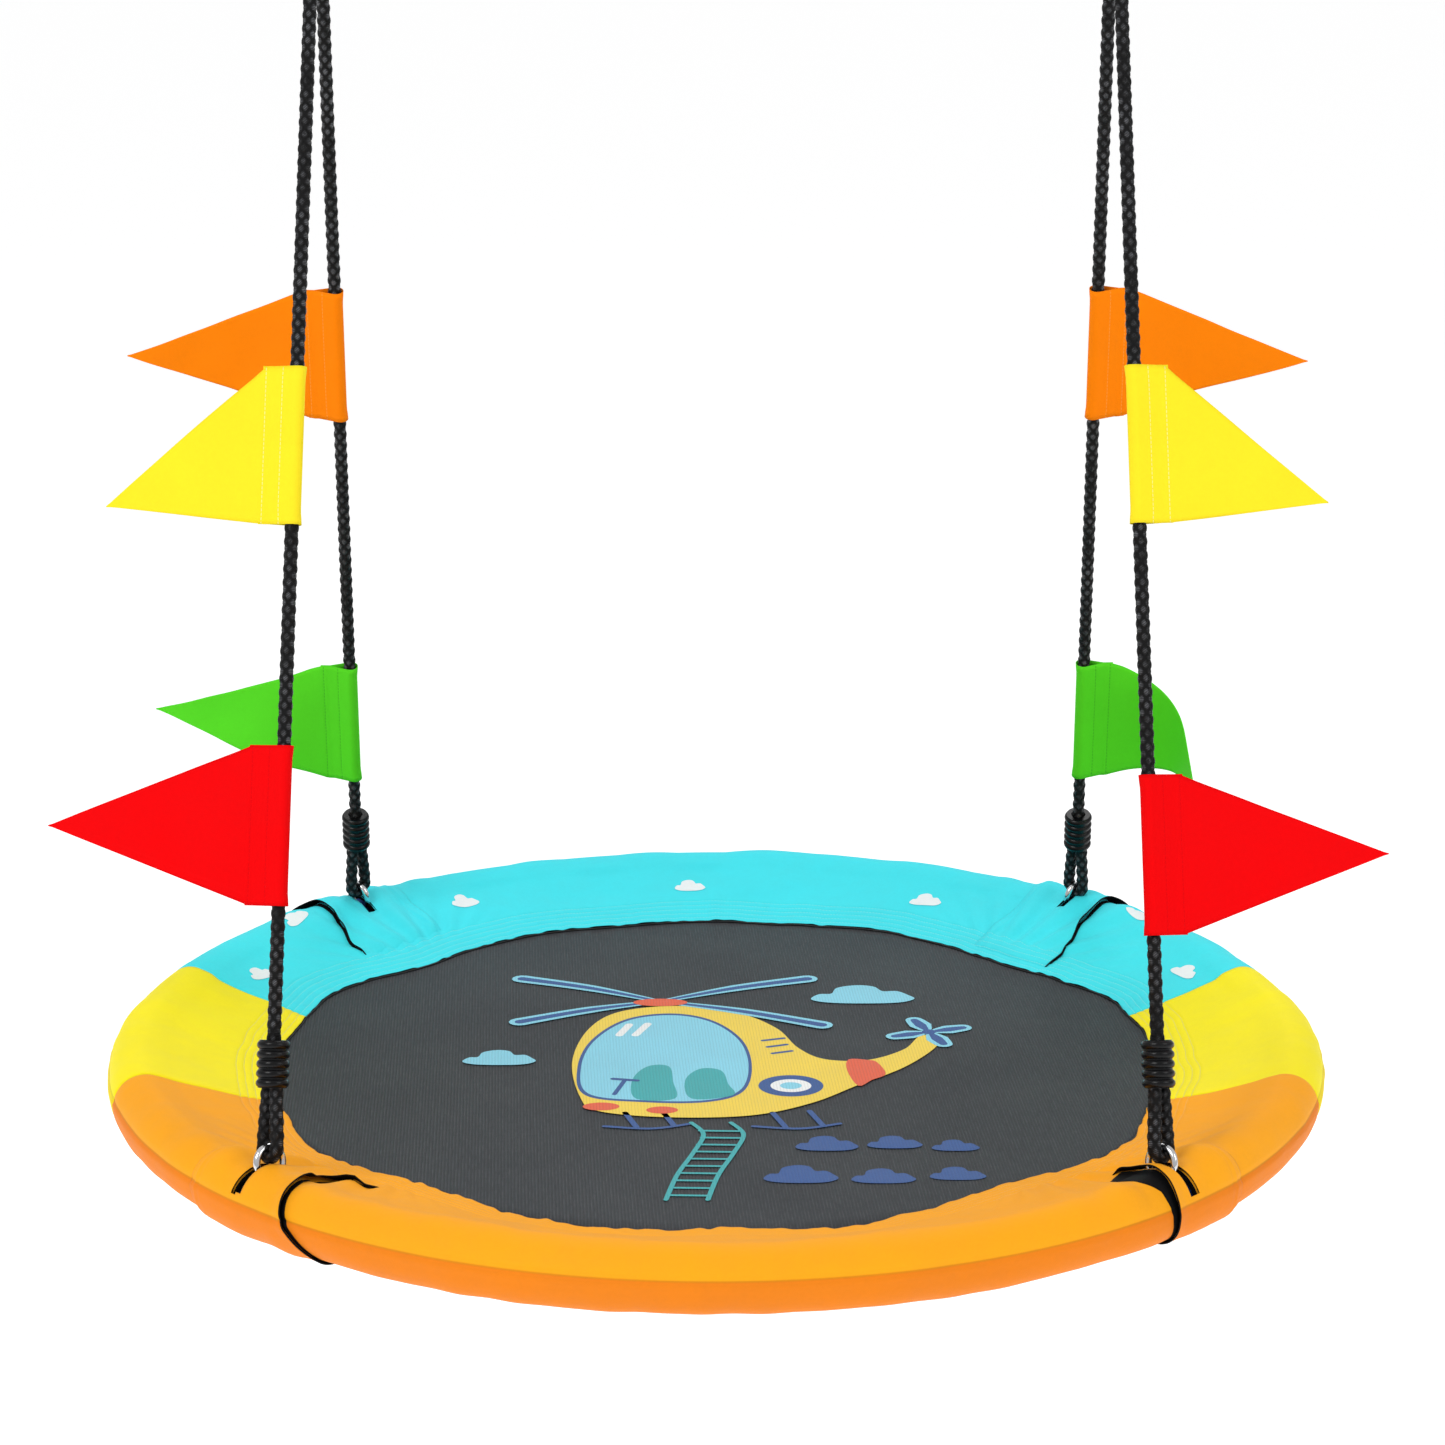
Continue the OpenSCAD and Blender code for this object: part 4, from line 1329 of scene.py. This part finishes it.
class SWING_OT_finishes(bpy.types.Operator):
    """Give the metal, foam, plastic and webbing parts their finishes"""
    bl_idname = "swing.finishes"
    bl_label = "Finishes"

    def execute(self, context):
        _, colours, _ = settings()
        steel = plain_material("Bright steel", (0.72, 0.73, 0.75), (0.55, 0.56, 0.58),
                               120.0, 0.00008, 0.07, 0.17, 1.0, 0.25)
        gate = plain_material("Brushed gate steel", (0.66, 0.67, 0.69), (0.5, 0.5, 0.52),
                              160.0, 0.0001, 0.16, 0.28, 1.0, 0.3)
        spring = plain_material("Spring steel", (0.5, 0.5, 0.52), (0.36, 0.35, 0.34),
                                200.0, 0.0001, 0.2, 0.35, 1.0, 0.3)
        tube = plain_material("Painted tube", (0.03, 0.032, 0.035), (0.09, 0.09, 0.09),
                              25.0, 0.0002, 0.3, 0.5, 0.0, 0.4)
        joiner = plain_material("Plain steel", (0.42, 0.42, 0.43), (0.26, 0.22, 0.19),
                                40.0, 0.0002, 0.3, 0.45, 1.0, 0.4)
        zinc = plain_material("Zinc screws", (0.62, 0.63, 0.62), (0.42, 0.43, 0.42),
                              220.0, 0.0001, 0.25, 0.4, 1.0, 0.35)
        foam = plain_material("Foam", (0.035, 0.036, 0.04), (0.06, 0.06, 0.065),
                              260.0, 0.0012, 0.8, 0.95, 0.0, 0.5)
        clamp = plain_material("Black clamp", (0.003, 0.003, 0.0035), (0.008, 0.008, 0.009),
                               70.0, 0.0004, 0.18, 0.32, 0.0, 0.4,
                               Specular_IOR_Level=0.22)

        def build(w):
            place = w.object_place()
            weave = w.group(weave_group(), Place=place, Thread_pitch=0.0022)
            wear = w.wear(place, 30.0, 260.0, 0.35)
            base = w.shaded(tuple(colours.webbing), wear["Shade"], weave["Shade"])
            return w.finish(base, (wear, 0.6, 0.8), weave["Height"], 0.0006, 0.8)
        webbing = material("Blue webbing", build)
        finish = {"frame_tube": tube, "tube_joiners": joiner, "joint_screws": zinc,
                  "foam": foam, "strap": webbing, "seat_ring": steel, "top_ring": steel,
                  "hook": steel, "gate_pins": steel, "gate_spring": spring, "gate_left": gate,
                  "gate_right": gate, "lock_sleeve": knurl_material("Knurled steel",
                                                                    (0.6, 0.61, 0.62)),
                  "lower_clamp": clamp, "upper_clamp": clamp}
        given = 0
        for part in bpy.context.scene.objects:
            if "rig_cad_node" not in part or part.hide_render:
                continue
            found = [m for prefix, m in finish.items() if part.name.startswith(prefix)]
            if not found:
                raise RuntimeError(f"no finish for {part.name}")
            if not part.material_slots:
                raise RuntimeError(f"{part.name} has no material slot")
            for place in part.material_slots:
                place.material = found[0]
            given += 1
        if not given:
            raise RuntimeError("no part took a finish")
        return {"FINISHED"}


# ---- add-on ----

class SWING_PT_panel(bpy.types.Panel):
    """Lists what builds the swing"""
    bl_idname = "SWING_PT_panel"
    bl_label = "Saucer Swing"
    bl_space_type = "VIEW_3D"
    bl_region_type = "UI"
    bl_category = "Saucer Swing"

    def draw(self, context):
        for operator in OPERATORS:
            self.layout.operator(operator.bl_idname)
        for group in (context.scene.swing_sizes, context.scene.swing_colours,
                      context.scene.swing_stage):
            column = self.layout.column(align=True)
            for key in group.__annotations__:
                column.prop(group, key)


OPERATORS = (SWING_OT_stage, SWING_OT_ropes, SWING_OT_covers, SWING_OT_bands, SWING_OT_mat,
             SWING_OT_print, SWING_OT_flags, SWING_OT_finishes)
GROUPS = {"swing_sizes": SwingSizes, "swing_colours": SwingColours, "swing_stage": SwingStage}


def register():
    for each in (*GROUPS.values(), *OPERATORS, SWING_PT_panel):
        bpy.utils.register_class(each)
    for key, group in GROUPS.items():
        setattr(bpy.types.Scene, key, PointerProperty(type=group))


def unregister():
    for key in GROUPS:
        delattr(bpy.types.Scene, key)
    for each in reversed((*GROUPS.values(), *OPERATORS, SWING_PT_panel)):
        bpy.utils.unregister_class(each)


def main():
    register()
    bpy.ops.swing.stage()
    bpy.ops.swing.ropes()
    bpy.ops.swing.covers()
    bpy.ops.swing.bands()
    bpy.ops.swing.mat()
    bpy.ops.swing.print()
    bpy.ops.swing.flags()
    bpy.ops.swing.finishes()


if __name__ == "__main__":
    main()
